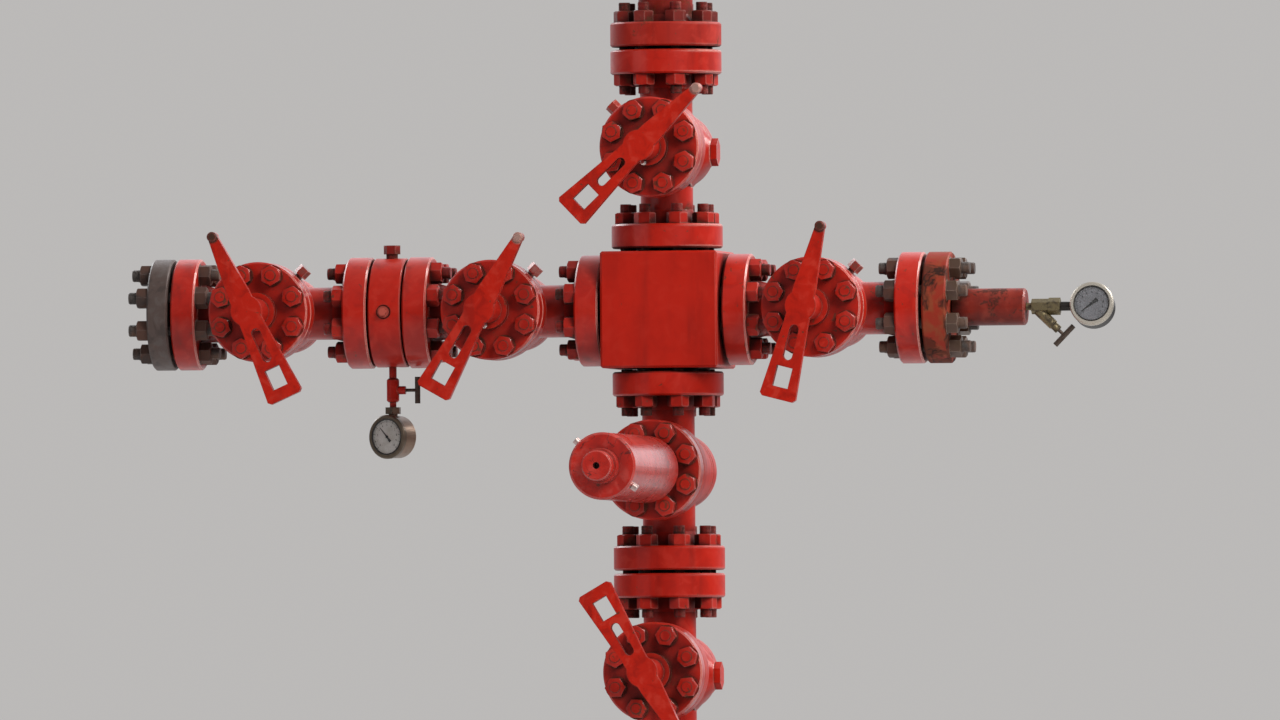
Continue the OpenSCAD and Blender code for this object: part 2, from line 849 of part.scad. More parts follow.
// Every ring gasket between the fixed pieces
module ring_gaskets() {
    mid_gasket_d = 212;
    low_gasket_d = 324;
    outlet_gasket_d = 96;
    color(STEEL) {
        translate([0, 0, casing_top_z]) gasket(low_gasket_d);
        translate([0, 0, tubing_top_z]) gasket(mid_gasket_d);
        for (z = [adapter_top_z, lower_master_z + valve_l / 2, upper_master_z + valve_l / 2,
                block_z + block_h / 2, swab_z + valve_l / 2])
            translate([0, 0, z]) gasket(gasket_d);
        for (x = [block_side / 2, inner_end_x, -arm_start, -blind_x])
            translate([x, 0, block_z]) rotate([0, 90, 0]) gasket(gasket_d);
        for (x = [-inner_end_x - spacer_gap, -outer_start_x])
            translate([x, 0, block_z]) rotate([0, 90, 0]) gasket(gasket_d, spacer_gap);
        for (side = [0, 180]) rotate(side) {
            translate([casing_outlet_reach, 0, casing_outlet_z]) rotate([0, 90, 0])
                gasket(outlet_gasket_d);
            translate([tubing_outlet_reach, 0, tubing_outlet_z]) rotate([0, 90, 0])
                gasket(outlet_gasket_d);
        }
    }
}

base_plate();
casing_head();
casing_outlet_blinds();
tubing_head();
tubing_outlet_blinds();
tubing_adapter();
lower_master_body();
lower_master_bonnet();
lower_master_lever();
upper_master_body();
upper_master_bonnet();
actuator_cylinder();
actuator_hub();
cross_block();
swab_body();
swab_bonnet();
swab_lever();
cap_adapter();
cap_nut();
cap_plug();
inner_wing_body();
inner_wing_bonnet();
inner_wing_lever();
gauge_spacer();
spacer_plugs();
outer_wing_body();
outer_wing_bonnet();
outer_wing_lever();
blind_flange();
blind_fasteners();
right_wing_body();
right_wing_bonnet();
right_wing_lever();
companion_flange();
stub_pipe();
left_needle_valve();
left_needle_handle();
left_gauge_case();
left_gauge_dial();
right_needle_valve();
right_needle_handle();
right_gauge_case();
right_gauge_dial();
ring_gaskets();
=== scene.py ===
"""Dresses the oil wellhead valve stack: finishes, studs and nuts, gauge faces, light and camera.

Lengths are in metres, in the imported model's own frame: +Z up, the arms along X, the stems towards -Y.
"""

from __future__ import annotations

import logging
import math
from dataclasses import dataclass, field, replace
from enum import Enum
from typing import Optional, Sequence, Union

import bmesh
import bpy
from mathutils import Matrix, Vector

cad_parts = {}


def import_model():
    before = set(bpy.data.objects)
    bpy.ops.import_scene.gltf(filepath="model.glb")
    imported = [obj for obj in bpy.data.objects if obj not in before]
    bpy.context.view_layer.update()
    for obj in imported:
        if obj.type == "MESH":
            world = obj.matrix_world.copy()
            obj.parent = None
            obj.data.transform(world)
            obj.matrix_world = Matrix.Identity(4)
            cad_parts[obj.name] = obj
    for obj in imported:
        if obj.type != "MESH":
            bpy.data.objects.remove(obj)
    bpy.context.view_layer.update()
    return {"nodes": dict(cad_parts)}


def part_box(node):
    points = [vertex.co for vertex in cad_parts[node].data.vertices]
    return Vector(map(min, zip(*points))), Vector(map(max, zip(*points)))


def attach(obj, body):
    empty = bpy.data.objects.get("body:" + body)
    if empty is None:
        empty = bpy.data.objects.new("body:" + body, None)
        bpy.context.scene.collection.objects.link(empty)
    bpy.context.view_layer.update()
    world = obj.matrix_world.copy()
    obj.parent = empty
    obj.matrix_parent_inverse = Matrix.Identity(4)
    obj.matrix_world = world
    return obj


LOG = logging.getLogger("wellhead")
SEED = 11
TREE_BODY = "tree"
UP = Vector((0.0, 0.0, 1.0))
SMOOTH_ANGLE = math.radians(35.0)

Colour = tuple[float, float, float]
Number = Union[float, "Field"]


class Direction(Enum):
    """Ways in which a bolted joint's axis can point."""

    RIGHT = (1.0, 0.0, 0.0)
    LEFT = (-1.0, 0.0, 0.0)
    FRONT = (0.0, -1.0, 0.0)
    BACK = (0.0, 1.0, 0.0)
    UP = (0.0, 0.0, 1.0)
    DOWN = (0.0, 0.0, -1.0)

    def frame(self, at: Vector) -> Matrix:
        """The matrix that carries the origin to a point and +Z to this direction."""
        turn = UP.rotation_difference(Vector(self.value))
        return Matrix.Translation(at) @ turn.to_matrix().to_4x4()


class Field:
    """A number that varies over a surface, written with Python's operators."""

    def __init__(self, graph: Graph, socket: bpy.types.NodeSocket) -> None:
        """Wraps the output of a graph that carries the number."""
        self.graph = graph
        self.socket = socket

    def _math(self, operation: str, first: Number, second: Number = 0.0) -> Field:
        """The result of one Math node."""
        return self.graph.field("ShaderNodeMath", 0, {"operation": operation}, {0: first, 1: second})

    def __add__(self, other: Number) -> Field:
        """This plus another."""
        return self._math("ADD", self, other)

    __radd__ = __add__

    def __sub__(self, other: Number) -> Field:
        """This less another."""
        return self._math("SUBTRACT", self, other)

    def __rsub__(self, other: Number) -> Field:
        """Another less this."""
        return self._math("SUBTRACT", other, self)

    def __mul__(self, other: Number) -> Field:
        """This times another."""
        return self._math("MULTIPLY", self, other)

    __rmul__ = __mul__

    def __truediv__(self, other: Number) -> Field:
        """This divided by another."""
        return self._math("DIVIDE", self, other)

    def most(self, other: Number) -> Field:
        """The larger of this and another."""
        return self._math("MAXIMUM", self, other)

    def sine(self) -> Field:
        """The sine of this angle."""
        return self._math("SINE", self)

    def cosine(self) -> Field:
        """The cosine of this angle."""
        return self._math("COSINE", self)

    def step(self, low: float, high: float) -> Field:
        """A smooth step, from 0 at the low value to 1 at the high one."""
        return self.graph.field("ShaderNodeMapRange", "Result", {"interpolation_type": "SMOOTHSTEP"},
                                {"Value": self, "From Min": low, "From Max": high})


class Graph:
    """A node tree, of a material or of Geometry Nodes, that is built by calls."""

    def __init__(self, tree: bpy.types.NodeTree) -> None:
        """Empties the tree, to build in it."""
        self.tree = tree
        tree.nodes.clear()

    def node(self, kind: str, settings: Optional[dict] = None,
             sockets: Optional[dict] = None) -> bpy.types.Node:
        """Adds a node.

        Args:
            kind: The node's type.
            settings: Its properties; "stops" fills a ramp with (place, colour) pairs.
            sockets: Values or links, by the input's name or number.

        Returns:
            The new node.
        """
        made = self.tree.nodes.new(kind)
        for key, value in (settings or {}).items():
            if key == "stops":
                self._fill_ramp(made.color_ramp, value)
            else:
                setattr(made, key, value)
        for key, value in (sockets or {}).items():
            self.feed(made.inputs[key], value)
        return made

    def field(self, kind: str, output: Union[int, str], settings: Optional[dict] = None,
              sockets: Optional[dict] = None) -> Field:
        """One output of a new node, as a number for expressions."""
        return Field(self, self.node(kind, settings, sockets).outputs[output])

    def feed(self, target: bpy.types.NodeSocket, value: object) -> None:
        """Links or sets one input.

        Args:
            target: The input.
            value: A Field, a socket, or a plain value.
        """
        source = value.socket if isinstance(value, Field) else value
        if isinstance(source, bpy.types.NodeSocket):
            self.tree.links.new(source, target)
        else:
            target.default_value = source

    @staticmethod
    def _fill_ramp(ramp: bpy.types.ColorRamp, stops: Sequence[tuple]) -> None:
        """Sets a ramp's stops.

        Args:
            ramp: The ramp.
            stops: Pairs of place and colour.
        """
        while len(ramp.elements) < len(stops):
            ramp.elements.new(1.0)
        for element, (place, colour) in zip(ramp.elements, stops):
            element.position = place
            element.color = colour


def opaque(colour: Colour) -> tuple[float, float, float, float]:
    """A colour with full alpha."""
    return (*colour, 1.0)


class Surface:
    """One material in the making, with the masks that every finish draws on."""

    CREVICE_SAMPLES = 8
    BEVEL_SAMPLES = 4
    EDGE_GAIN = 6.0

    def __init__(self, name: str) -> None:
        """Starts a material.

        Args:
            name: The material's name.
        """
        self.material = bpy.data.materials.new(name)
        self.material.use_nodes = True
        self.graph = Graph(self.material.node_tree)
        self.place = self.graph.node("ShaderNodeTexCoord").outputs["Object"]
        self.shader = self.graph.node("ShaderNodeBsdfPrincipled")
        end = self.graph.node("ShaderNodeOutputMaterial")
        self.graph.feed(end.inputs["Surface"], self.shader.outputs["BSDF"])

    def noise(self, scale: float, detail: float = 4.0, stretch: Sequence[float] = (1.0, 1.0, 1.0),
              distort: float = 0.0) -> Field:
        """Cloudy noise from 0 to 1.

        Args:
            scale: Features per metre.
            detail: How many finer layers lie on it.
            stretch: How much denser it is along each axis.
            distort: How far it is pulled about.

        Returns:
            The noise.
        """
        mapped = self.graph.node("ShaderNodeMapping", None, {"Vector": self.place, "Scale": stretch})
        return self.graph.field(
            "ShaderNodeTexNoise", "Fac", None,
            {"Vector": mapped.outputs["Vector"], "Scale": scale, "Detail": detail, "Distortion": distort},
        )

    def crevice(self, reach: float) -> Field:
        """How deep in a corner a point lies, from 0 to 1, with neighbours up to that reach."""
        return 1.0 - self.graph.field("ShaderNodeAmbientOcclusion", "AO", {"samples": self.CREVICE_SAMPLES},
                                      {"Distance": reach})

    def _measure(self, operation: str, first: object, second: object) -> Field:
        """The number that a Vector Math node makes of two vectors."""
        return self.graph.field("ShaderNodeVectorMath", "Value", {"operation": operation},
                                {0: first, 1: second})

    def _softened(self, radius: float) -> bpy.types.NodeSocket:
        """The surface's normal, with its sharp edges rounded to a radius."""
        return self.graph.node("ShaderNodeBevel", {"samples": self.BEVEL_SAMPLES},
                               {"Radius": radius}).outputs["Normal"]

    def edge(self, radius: float) -> Field:
        """Where a sharp edge runs, from 0 to about 1, in a band as wide as the radius."""
        flat = self.graph.node("ShaderNodeNewGeometry").outputs["Normal"]
        return (1.0 - self._measure("DOT_PRODUCT", flat, self._softened(radius))) * self.EDGE_GAIN

    def facing(self, axis: str) -> Field:
        """How far the surface faces along an axis, from -1 to 1."""
        normal = self.graph.node("ShaderNodeNewGeometry").outputs["Normal"]
        return self.graph.field("ShaderNodeSeparateXYZ", axis, None, {0: normal})

    def near(self, point: Vector, inner: float, outer: float) -> Field:
        """A mask that is 1 up to the inner distance from a point and 0 past the outer one."""
        return 1.0 - self._measure("DISTANCE", self.place, point).step(inner, outer)

    def ahead(self, point: Vector, way: Vector) -> Field:
        """How many metres in front of a plane the surface lies, given a point and the unit normal."""
        return self._measure("DOT_PRODUCT", self.place, way) - point.dot(way)

    def mix(self, mask: Number, under: object, over: object) -> bpy.types.NodeSocket:
        """Lays one colour over another.

        Args:
            mask: Where the upper colour shows.
            under: The lower colour, or a socket that carries it.
            over: The upper colour, or a socket that carries it.

        Returns:
            The mixed colour's socket.
        """
        made = self.graph.node("ShaderNodeMix", {"data_type": "RGBA", "clamp_factor": True}, {0: mask})
        for slot, colour in ((6, under), (7, over)):
            self.graph.feed(made.inputs[slot], opaque(colour) if isinstance(colour, tuple) else colour)
        return made.outputs[2]

    def bump(self, height: Field, strength: float, distance: float, rounding: float) -> None:
        """Gives the surface relief and softens its sharp edges.

        Args:
            height: The relief, from 0 to 1.
            strength: How strongly it shows.
            distance: Its depth.
            rounding: The radius of the softened edges.
        """
        made = self.graph.node(
            "ShaderNodeBump", None,
            {"Height": height, "Strength": strength, "Distance": distance, "Normal": self._softened(rounding)},
        )
        self.set("Normal", made.outputs["Normal"])

    def set(self, name: str, value: object) -> None:
        """Sets or links one of the shader's inputs."""
        self.graph.feed(self.shader.inputs[name], value)


@dataclass(frozen=True)
class Recipe:
    """What every finish has: the name of its material and the steps that paint it."""

    name: str

    def material(self) -> bpy.types.Material:
        """Makes the finish's material.

        Returns:
            The material, painted.
        """
        surface = Surface(self.name)
        self.paint(surface)
        return surface.material

    def paint(self, s: Surface) -> None:
        """Sets the colour, the gloss and the relief of a surface."""
        raise NotImplementedError


@dataclass(frozen=True)
class BareSpot:
    """A small round place where paint gives way to metal."""

    point: tuple[float, float, float]
    inner: float
    outer: float
    colour: Colour
    metallic: float


@dataclass(frozen=True)
class PaintedSteel(Recipe):
    """Weathered paint on steel, with dust, soiling and rust where they gather, and painted shade and
    highlights.
    """

    colour: Colour = (0.48, 0.0125, 0.003)
    deep: Colour = (0.27, 0.0065, 0.002)
    # Pale colour for fading, also used for a painted sky sheen on top faces and painted highlights on edges.
    faded: Colour = (0.52, 0.036, 0.02)
    # Dark colour of soiling and of the painted shade in corners.
    grime: Colour = (0.04, 0.006, 0.005)
    rust: Colour = (0.085, 0.03, 0.015)
    # Pale colour of the painted highlight on edges that face right.
    chalk: Colour = (0.66, 0.33, 0.28)
    grime_amount: float = 0.85
    rust_amount: float = 0.12
    speck_amount: float = 0.3
    wear: float = 0.35
    roughness: float = 0.34
    specular: float = 0.17
    relief: float = 0.3
    varnish: float = 0.16
    varnish_roughness: float = 0.16
    mottle: float = 0.35
    bleach: float = 0.25
    scratches: float = 0.0
    bare: tuple[BareSpot, ...] = ()

    def paint(self, s: Surface) -> None:
        """Lays the paint, then what sun, rain, soiling, rust and rubbing have done to it, with painted shade
        and highlights.

        Args:
            s: The surface.
        """
        broad = s.noise(3.0, 3.0)
        cloudy = s.noise(17.0, 6.0, distort=0.4)
        fine = s.noise(160.0, 4.0)
        speck = s.noise(62.0, 3.0, distort=0.5)
        streak = s.noise(9.0, 4.0, (2.6, 2.6, 0.3))
        corner = s.crevice(0.06)
        rim = s.edge(0.004)
        facing = s.facing("Z")

        # The paint itself: deeper in broad clouds, painted shade on faces that point down, blotchy, and lighter
        # on top with dust and a painted sky sheen.
        shade = (broad * 0.7 + streak * 0.5).step(0.45, 0.85)
        colour = s.mix(shade * 0.6, self.colour, self.deep)
        # Painted shade: faces that point down are darkened towards the deep colour.
        colour = s.mix((0.0 - facing).step(0.1, 0.9) * 0.5, colour, self.deep)
        blotch = s.noise(30.0, 5.0, distort=0.7)
        colour = s.mix(blotch.step(0.5, 0.66) * self.mottle, colour, self.faded)
        colour = s.mix((1.0 - blotch).step(0.52, 0.68) * self.mottle, colour, self.deep)
        # Tops take the pale colour: partly dust, partly a painted sky sheen.
        dust_and_sheen = facing.step(0.3, 1.0) * cloudy.step(0.3, 0.7)
        colour = s.mix(dust_and_sheen * 0.5, colour, self.faded)

        # Painted shade with soiling in the corners, dirty runs, worn edges that are partly a painted highlight,
        # and painted highlights on edges that face right.
        # Painted shade: corners darken towards the dark colour, with cloudy soiling mixed in; the runs are real
        # soiling.
        grime_and_corner_shade = (corner * 1.7 + (cloudy - 0.5) * 0.6).step(0.25, 1.0) * self.grime_amount
        runs = streak.step(0.55, 0.75) * (1.0 - broad) * 0.7 * self.grime_amount
        colour = s.mix(grime_and_corner_shade.most(runs), colour, self.grime)
        # Edges lighten to the pale colour: partly worn chips, partly a painted highlight on the rims.
        chips_and_glint = rim.step(0.25, 0.9) * cloudy.step(0.4, 0.62) * self.wear
        colour = s.mix(chips_and_glint, colour, self.faded)
        # Painted highlight: edges that face right are lightened towards the pale highlight colour.
        painted_edge_glint = s.edge(0.007).step(0.02, 0.3) * s.facing("X").step(0.2, 0.7) * self.bleach
        colour = s.mix(painted_edge_glint, colour, self.chalk)

        # Rust, as specks and as patches.
        speck_from, patch_from = 0.8 - self.speck_amount * 0.3, 0.72 - self.rust_amount * 0.35
        specks = (speck + rim * 0.06).step(speck_from, speck_from + 0.04)
        colour = s.mix(specks * 0.75, colour, self.rust)
        patches = (cloudy * 0.7 + fine * 0.3 + rim * 0.12 + corner * 0.15).step(patch_from, patch_from + 0.08)
        colour = s.mix(patches * 0.85, colour, self.rust)
        if self.scratches > 0.0:
            line = s.noise(11.0, 2.0, (1.0, 0.3, 1.5), distort=1.3) - 0.5
            scored = (1.0 - (line * line * 12000.0).step(0.0, 1.0)) * cloudy.step(0.5, 0.56)
            colour = s.mix(scored * self.scratches, colour, self.grime)

        metal: Number = 0.0
        for spot in self.bare:
            worn = s.near(Vector(spot.point), spot.inner, spot.outer)
            colour = s.mix(worn, colour, spot.colour)
            metal = (worn * spot.metallic).most(metal)
        s.set("Metallic", metal)
        s.set("Base Color", colour)
        s.set("Roughness", self.roughness + cloudy * 0.16 + grime_and_corner_shade * 0.25 + patches * 0.25)
        s.set("Specular IOR Level", self.specular)
        s.set("Coat Weight", (rim.step(0.2, 0.8) * 0.9 + self.varnish) * (1.0 - grime_and_corner_shade * 0.7))
        s.set("Coat Roughness", self.varnish_roughness)
        s.bump(cloudy * 0.6 + fine * 0.25 + patches * 0.5 - specks * 0.4, self.relief, 0.0012, 0.0022)


@dataclass(frozen=True)
class BareSteel(Recipe):
    """Unpainted steel under a thin film of brown rust."""

    colour: Colour = (0.062, 0.05, 0.045)
    rust: Colour = (0.14, 0.06, 0.03)
    light: Colour = (0.16, 0.14, 0.13)
    pit: Colour = (0.018, 0.012, 0.01)
    rust_level: float = 0.5
    roughness: float = 0.55
    metallic: float = 0.35
    pitting: float = 0.0

    def paint(self, s: Surface) -> None:
        """Lays the rust film, the pits, and the rubbed edges, which are lightened partly as a painted
        highlight.

        Args:
            s: The surface.
        """
        pits = s.noise(46.0, 8.0, (1.0, 1.0, 0.6), distort=0.5)
        cloudy = s.noise(22.0, 6.0, distort=0.6)
        broad = s.noise(6.0, 3.0)
        fine = s.noise(240.0, 4.0)
        rim = s.edge(0.003)
        rust_from = 0.72 - self.rust_level * 0.4
        rusty = (cloudy * 0.7 + broad * 0.4).step(rust_from, rust_from + 0.2)
        colour = s.mix(rusty * 0.9, self.colour, self.rust)
        colour = s.mix(pits.step(0.52, 0.64) * self.pitting, colour, self.light)
        colour = s.mix((1.0 - pits).step(0.53, 0.66) * self.pitting, colour, self.pit)
        # Edges lighten to the light colour: rubbed metal, partly a painted highlight.
        colour = s.mix(rim.step(0.2, 0.9) * 0.5, colour, self.light)
        s.set("Base Color", colour)
        s.set("Roughness", self.roughness + rusty * 0.25 - rim * 0.05)
        s.set("Metallic", (1.0 - rusty) * self.metallic)
        s.bump(cloudy * 0.5 + fine * 0.5 + pits * self.pitting, 0.4 + self.pitting * 0.4, 0.001, 0.0012)


@dataclass(frozen=True)
class RustedPaint(Recipe):
    """Old red-orange paint that has flaked off to brown rust, with dark runs."""

    colour: Colour = (0.27, 0.024, 0.01)
    orange: Colour = (0.24, 0.048, 0.018)
    brown: Colour = (0.055, 0.018, 0.01)
    dark: Colour = (0.014, 0.008, 0.006)
    flaking: float = 0.6
    specular: float = 0.2

    def paint(self, s: Surface) -> None:
        """Lays the old paint, the flaked patches and the dark veins in them.

        Args:
            s: The surface.
        """
        patches = s.noise(11.0, 7.0, distort=0.8)
        cloudy = s.noise(34.0, 6.0, distort=0.5)
        fine = s.noise(220.0, 4.0)
        cracks = s.noise(15.0, 8.0, (1.0, 1.0, 0.5), distort=1.5) - 0.5
        rim = s.edge(0.004)
        flaked_from = 0.6 - self.flaking * 0.2
        colour = s.mix(cloudy.step(0.4, 0.66), self.colour, self.orange)
        brown = (patches + rim * 0.08).step(flaked_from, flaked_from + 0.06)
        colour = s.mix(brown * 0.75, colour, self.brown)
        veins = 1.0 - (cracks * cracks * 900.0).step(0.0, 1.0)
        colour = s.mix(veins * brown * 0.8, colour, self.dark)
        s.set("Base Color", colour)
        s.set("Roughness", 0.55 + brown * 0.25)
        s.set("Specular IOR Level", self.specular)
        s.bump(cloudy * 0.4 + fine * 0.2 - brown * 0.5, 0.5, 0.0012, 0.002)


@dataclass(frozen=True)
class PlainMetal(Recipe):
    """Worked metal: gauge cases, bezels, fittings and handles."""

    colour: Colour
    stain: Colour
    metallic: float
    roughness: float
    stain_level: float
    side: Optional[Colour] = None
    front: Optional[tuple[Vector, Vector]] = None

    def paint(self, s: Surface) -> None:
        """Lays the metal and its stains, with another colour behind the front plane if it has one.

        Args:
            s: The surface.
        """
        cloudy = s.noise(60.0, 5.0, distort=0.5)
        fine = s.noise(420.0, 3.0)
        stain_from = 0.68 - self.stain_level * 0.4
        stained = cloudy.step(stain_from, stain_from + 0.22)
        colour = s.mix(stained, self.colour, self.stain)
        if self.side is not None and self.front is not None:
            colour = s.mix(s.ahead(*self.front).step(-0.0005, 0.0005), self.side, colour)
        s.set("Base Color", colour)
        s.set("Metallic", self.metallic - stained * self.metallic * 0.5)
        s.set("Roughness", self.roughness + stained * 0.3)
        s.bump(fine * 0.6 + cloudy * 0.4, 0.15, 0.0004, 0.0006)


@dataclass(frozen=True)
class DialPrint(Recipe):
    """The printed plate and marks of a gauge, lightly yellowed."""

    colour: Colour
    aged: Colour

    def paint(self, s: Surface) -> None:
        """Lays the print and its yellowing.

        Args:
            s: The surface.
        """
        cloudy = s.noise(45.0, 4.0)
        s.set("Base Color", s.mix(cloudy.step(0.35, 0.75), self.colour, self.aged))
        s.set("Roughness", 0.5 + cloudy * 0.1)


@dataclass(frozen=True)
class ClearGlass(Recipe):
    """The gauge's window."""

    colour: Colour = (0.1, 0.1, 0.1)
    roughness: float = 0.04
    bending: float = 1.45
    cover: float = 0.04

    def paint(self, s: Surface) -> None:
        """Makes the surface almost clear.

        Args:
            s: The surface.
        """
        s.set("Base Color", opaque(self.colour))
        s.set("Roughness", self.roughness)
        s.set("IOR", self.bending)
        s.set("Alpha", self.cover)


class Finish(Enum):
    """Every finish on the tree, named for what wears it."""

    RED = PaintedSteel("red_paint")
    RED_BLOCK = PaintedSteel(
        "red_paint_block", grime_amount=0.7, rust_amount=0.03, speck_amount=0.2, mottle=0.15, roughness=0.4,
    )
    RED_WING = PaintedSteel("red_paint_wing", grime_amount=0.9, rust_amount=0.2, speck_amount=0.5)
    # The bonnets below carry the full painted highlight on edges that face right.
    RED_FACE = PaintedSteel(
        "red_paint_wing_bonnets", grime_amount=0.5, speck_amount=0.45, rust_amount=0.16, varnish=0.6,
        bleach=1.0,
    )
    RED_FACE_DARK = PaintedSteel("red_paint_run_bonnets", rust_amount=0.16, varnish=0.6, bleach=1.0)
    # Its pale colour on top faces stands partly for a painted sky sheen.
    RED_GLOSS = PaintedSteel(
        "red_paint_actuator", colour=(0.5, 0.0145, 0.005), faded=(0.6, 0.1, 0.08), grime_amount=0.5,
        rust_amount=0.03, speck_amount=0.25, roughness=0.2, specular=0.5, relief=0.07, varnish=0.5,
        scratches=0.8,
    )
    RED_CAP = PaintedSteel(
        "red_paint_cap", colour=(0.36, 0.0145, 0.0055), rust=(0.11, 0.03, 0.014), rust_amount=0.32,
        grime_amount=0.8, roughness=0.46,
    )
    RED_STUB = PaintedSteel(
        "red_paint_stub", colour=(0.26, 0.019, 0.009), deep=(0.07, 0.008, 0.005), faded=(0.3, 0.05, 0.03),
        rust=(0.05, 0.014, 0.008), rust_amount=0.45, speck_amount=0.6, roughness=0.46,
    )
    RED_LEVER = PaintedSteel(
        "red_paint_lever", rust_amount=0.14, speck_amount=0.4, mottle=0.6, roughness=0.3,
    )
    NUT_RED = PaintedSteel(
        "red_paint_nuts", colour=(0.4, 0.0125, 0.0045), grime_amount=1.0, rust_amount=0.28, speck_amount=0.5,
        wear=0.5, roughness=0.42,
    )
    NUT_DEEP = PaintedSteel(
        "red_paint_cap_nuts", colour=(0.19, 0.0125, 0.0075), deep=(0.09, 0.007, 0.005), faded=(0.3, 0.05, 0.04),
        grime_amount=1.0, rust_amount=0.3, speck_amount=0.5, roughness=0.45,
    )
    NUT_BROWN = BareSteel("brown_nuts", colour=(0.05, 0.03, 0.024), rust=(0.085, 0.034, 0.02), rust_level=0.8)
    # Its light edge colour is partly a painted highlight.
    NUT_TAN = BareSteel(
        "tan_nuts", colour=(0.09, 0.05, 0.032), rust=(0.06, 0.026, 0.016), light=(0.42, 0.32, 0.25),
        rust_level=0.5, roughness=0.36,
    )
    STUD_RED = PaintedSteel(
        "red_paint_studs", colour=(0.24, 0.01, 0.008), rust=(0.045, 0.02, 0.014), rust_amount=0.5,
        speck_amount=0.5, roughness=0.5,
    )
    STUD = BareSteel("dark_studs", rust_level=0.55)
    BLIND = BareSteel(
        "blind_flange_steel", colour=(0.085, 0.056, 0.047), rust=(0.12, 0.055, 0.035), rust_level=0.4,
        light=(0.12, 0.1, 0.092), roughness=0.5, metallic=0.15, pitting=0.4,
    )
    COMPANION = RustedPaint("companion_flange_rust")
    GASKET = BareSteel("gasket_iron", colour=(0.02, 0.016, 0.014), rust_level=0.2)
    BASE = BareSteel("base_steel", rust_level=0.5)
    BRASS = PlainMetal("olive_brass", (0.2, 0.16, 0.085), (0.06, 0.045, 0.025), 0.8, 0.42, 0.6)
    TEE = PlainMetal("handle_steel", (0.075, 0.052, 0.04), (0.05, 0.026, 0.016), 0.6, 0.5, 0.6)
    CHROME = PlainMetal("bright_fitting", (0.7, 0.66, 0.62), (0.3, 0.22, 0.18), 1.0, 0.2, 0.2)
    CASE_LIGHT = PlainMetal(
        "steel_gauge_case", (0.46, 0.42, 0.36), (0.34, 0.29, 0.23), 0.7, 0.42, 0.2, side=(0.03, 0.025, 0.022),
    )
    CASE_TAN = PlainMetal(
        "tan_gauge_case", (0.11, 0.08, 0.055), (0.07, 0.05, 0.035), 0.6, 0.36, 0.4, side=(0.19, 0.125, 0.085),
    )
    BEZEL_DARK = PlainMetal("dark_bezel", (0.03, 0.028, 0.026), (0.06, 0.05, 0.04), 0.3, 0.35, 0.2)
    DIAL_PALE = DialPrint("pale_dial", (0.5, 0.47, 0.44), (0.4, 0.37, 0.33))
    DIAL_GREY = DialPrint("grey_dial", (0.17, 0.17, 0.185), (0.13, 0.13, 0.14))
    INK = DialPrint("dial_ink", (0.012, 0.012, 0.012), (0.02, 0.02, 0.02))
    GLASS = ClearGlass("gauge_glass")


class Paintshop:
    """Makes each finish once and hands it out."""

    def __init__(self) -> None:
        """Starts with no materials."""
        self.made: dict[str, bpy.types.Material] = {}

    def get(self, finish: Union[Finish, Recipe]) -> bpy.types.Material:
        """The material of a finish.

        Args:
            finish: A named finish, or one that is made for a single piece.

        Returns:
            The material.
        """
        recipe = finish.value if isinstance(finish, Finish) else finish
        if recipe.name not in self.made:
            self.made[recipe.name] = recipe.material()
        return self.made[recipe.name]

    def coat(self, thing: bpy.types.Object, finish: Union[Finish, Recipe]) -> None:
        """Gives a whole object one finish."""
        thing.data.materials.clear()
        thing.data.materials.append(self.get(finish))


def centre_of(name: str) -> Vector:
    """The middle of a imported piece's box."""
    low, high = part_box(name)
    return (low + high) / 2.0


def to_mesh(form: bmesh.types.BMesh, name: str) -> bpy.types.Mesh:
    """Turns an editable form into a mesh.

    Args:
        form: The form, which is freed.
        name: The mesh's name.

    Returns:
        The mesh.
    """
    mesh = bpy.data.meshes.new(name)
    form.to_mesh(mesh)
    form.free()
    return mesh


def harvest(carrier: bpy.types.Object) -> bpy.types.Mesh:
    """Takes the plain mesh that a helper object comes to.

    Args:
        carrier: The helper, with its modifiers; it is removed.

    Returns:
        The mesh.
    """
    bpy.context.scene.collection.objects.link(carrier)
    graph = bpy.context.evaluated_depsgraph_get()
    mesh = bpy.data.meshes.new_from_object(carrier.evaluated_get(graph))
    carrier.modifiers.clear()
    bpy.data.objects.remove(carrier)
    return mesh


def add_object(name: str, mesh: bpy.types.Mesh, smooth_angle: float = 0.0) -> bpy.types.Object:
    """Links a mesh to the scene.

    Args:
        name: The piece's name.
        mesh: Its mesh, in place.
        smooth_angle: Faces that meet at less than this angle are shaded smooth.

    Returns:
        The new object, at the origin.
    """
    thing = bpy.data.objects.new(name, mesh)
    bpy.context.scene.collection.objects.link(thing)
    if smooth_angle > 0.0:
        mesh.shade_smooth()
        mesh.set_sharp_from_angle(angle=smooth_angle)
    return thing


def revolve(profile: Sequence[tuple[float, float]], sides: int) -> bpy.types.Mesh:
    """Turns a profile round +Z.

    Args:
        profile: Pairs of radius and height, from bottom to top along the outside.
        sides: The number of sides.

    Returns:
        A mesh whose poles are closed.
    """
    form = bmesh.new()
    turn = [math.tau * i / sides for i in range(sides)]
    rings = []
    for radius, height in profile:
        angles = turn if radius > 0.0 else [0.0]
        rings.append([form.verts.new((radius * math.cos(a), radius * math.sin(a), height)) for a in angles])
    for low, high in zip(rings, rings[1:]):
        for i in range(sides):
            j = (i + 1) % sides
            corners = [low[i % len(low)], low[j % len(low)], high[j % len(high)], high[i % len(high)]]
            form.faces.new(list(dict.fromkeys(corners)))
    bmesh.ops.recalc_face_normals(form, faces=form.faces)
    return to_mesh(form, "turned")


def join_meshes(name: str, parts: Sequence[bpy.types.Mesh]) -> bpy.types.Mesh:
    """Puts several meshes in one.

    Args:
        name: The new mesh's name.
        parts: The meshes, which share one material.

    Returns:
        The joined mesh.
    """
    form = bmesh.new()
    for part in parts:
        form.from_mesh(part)
    return to_mesh(form, name)


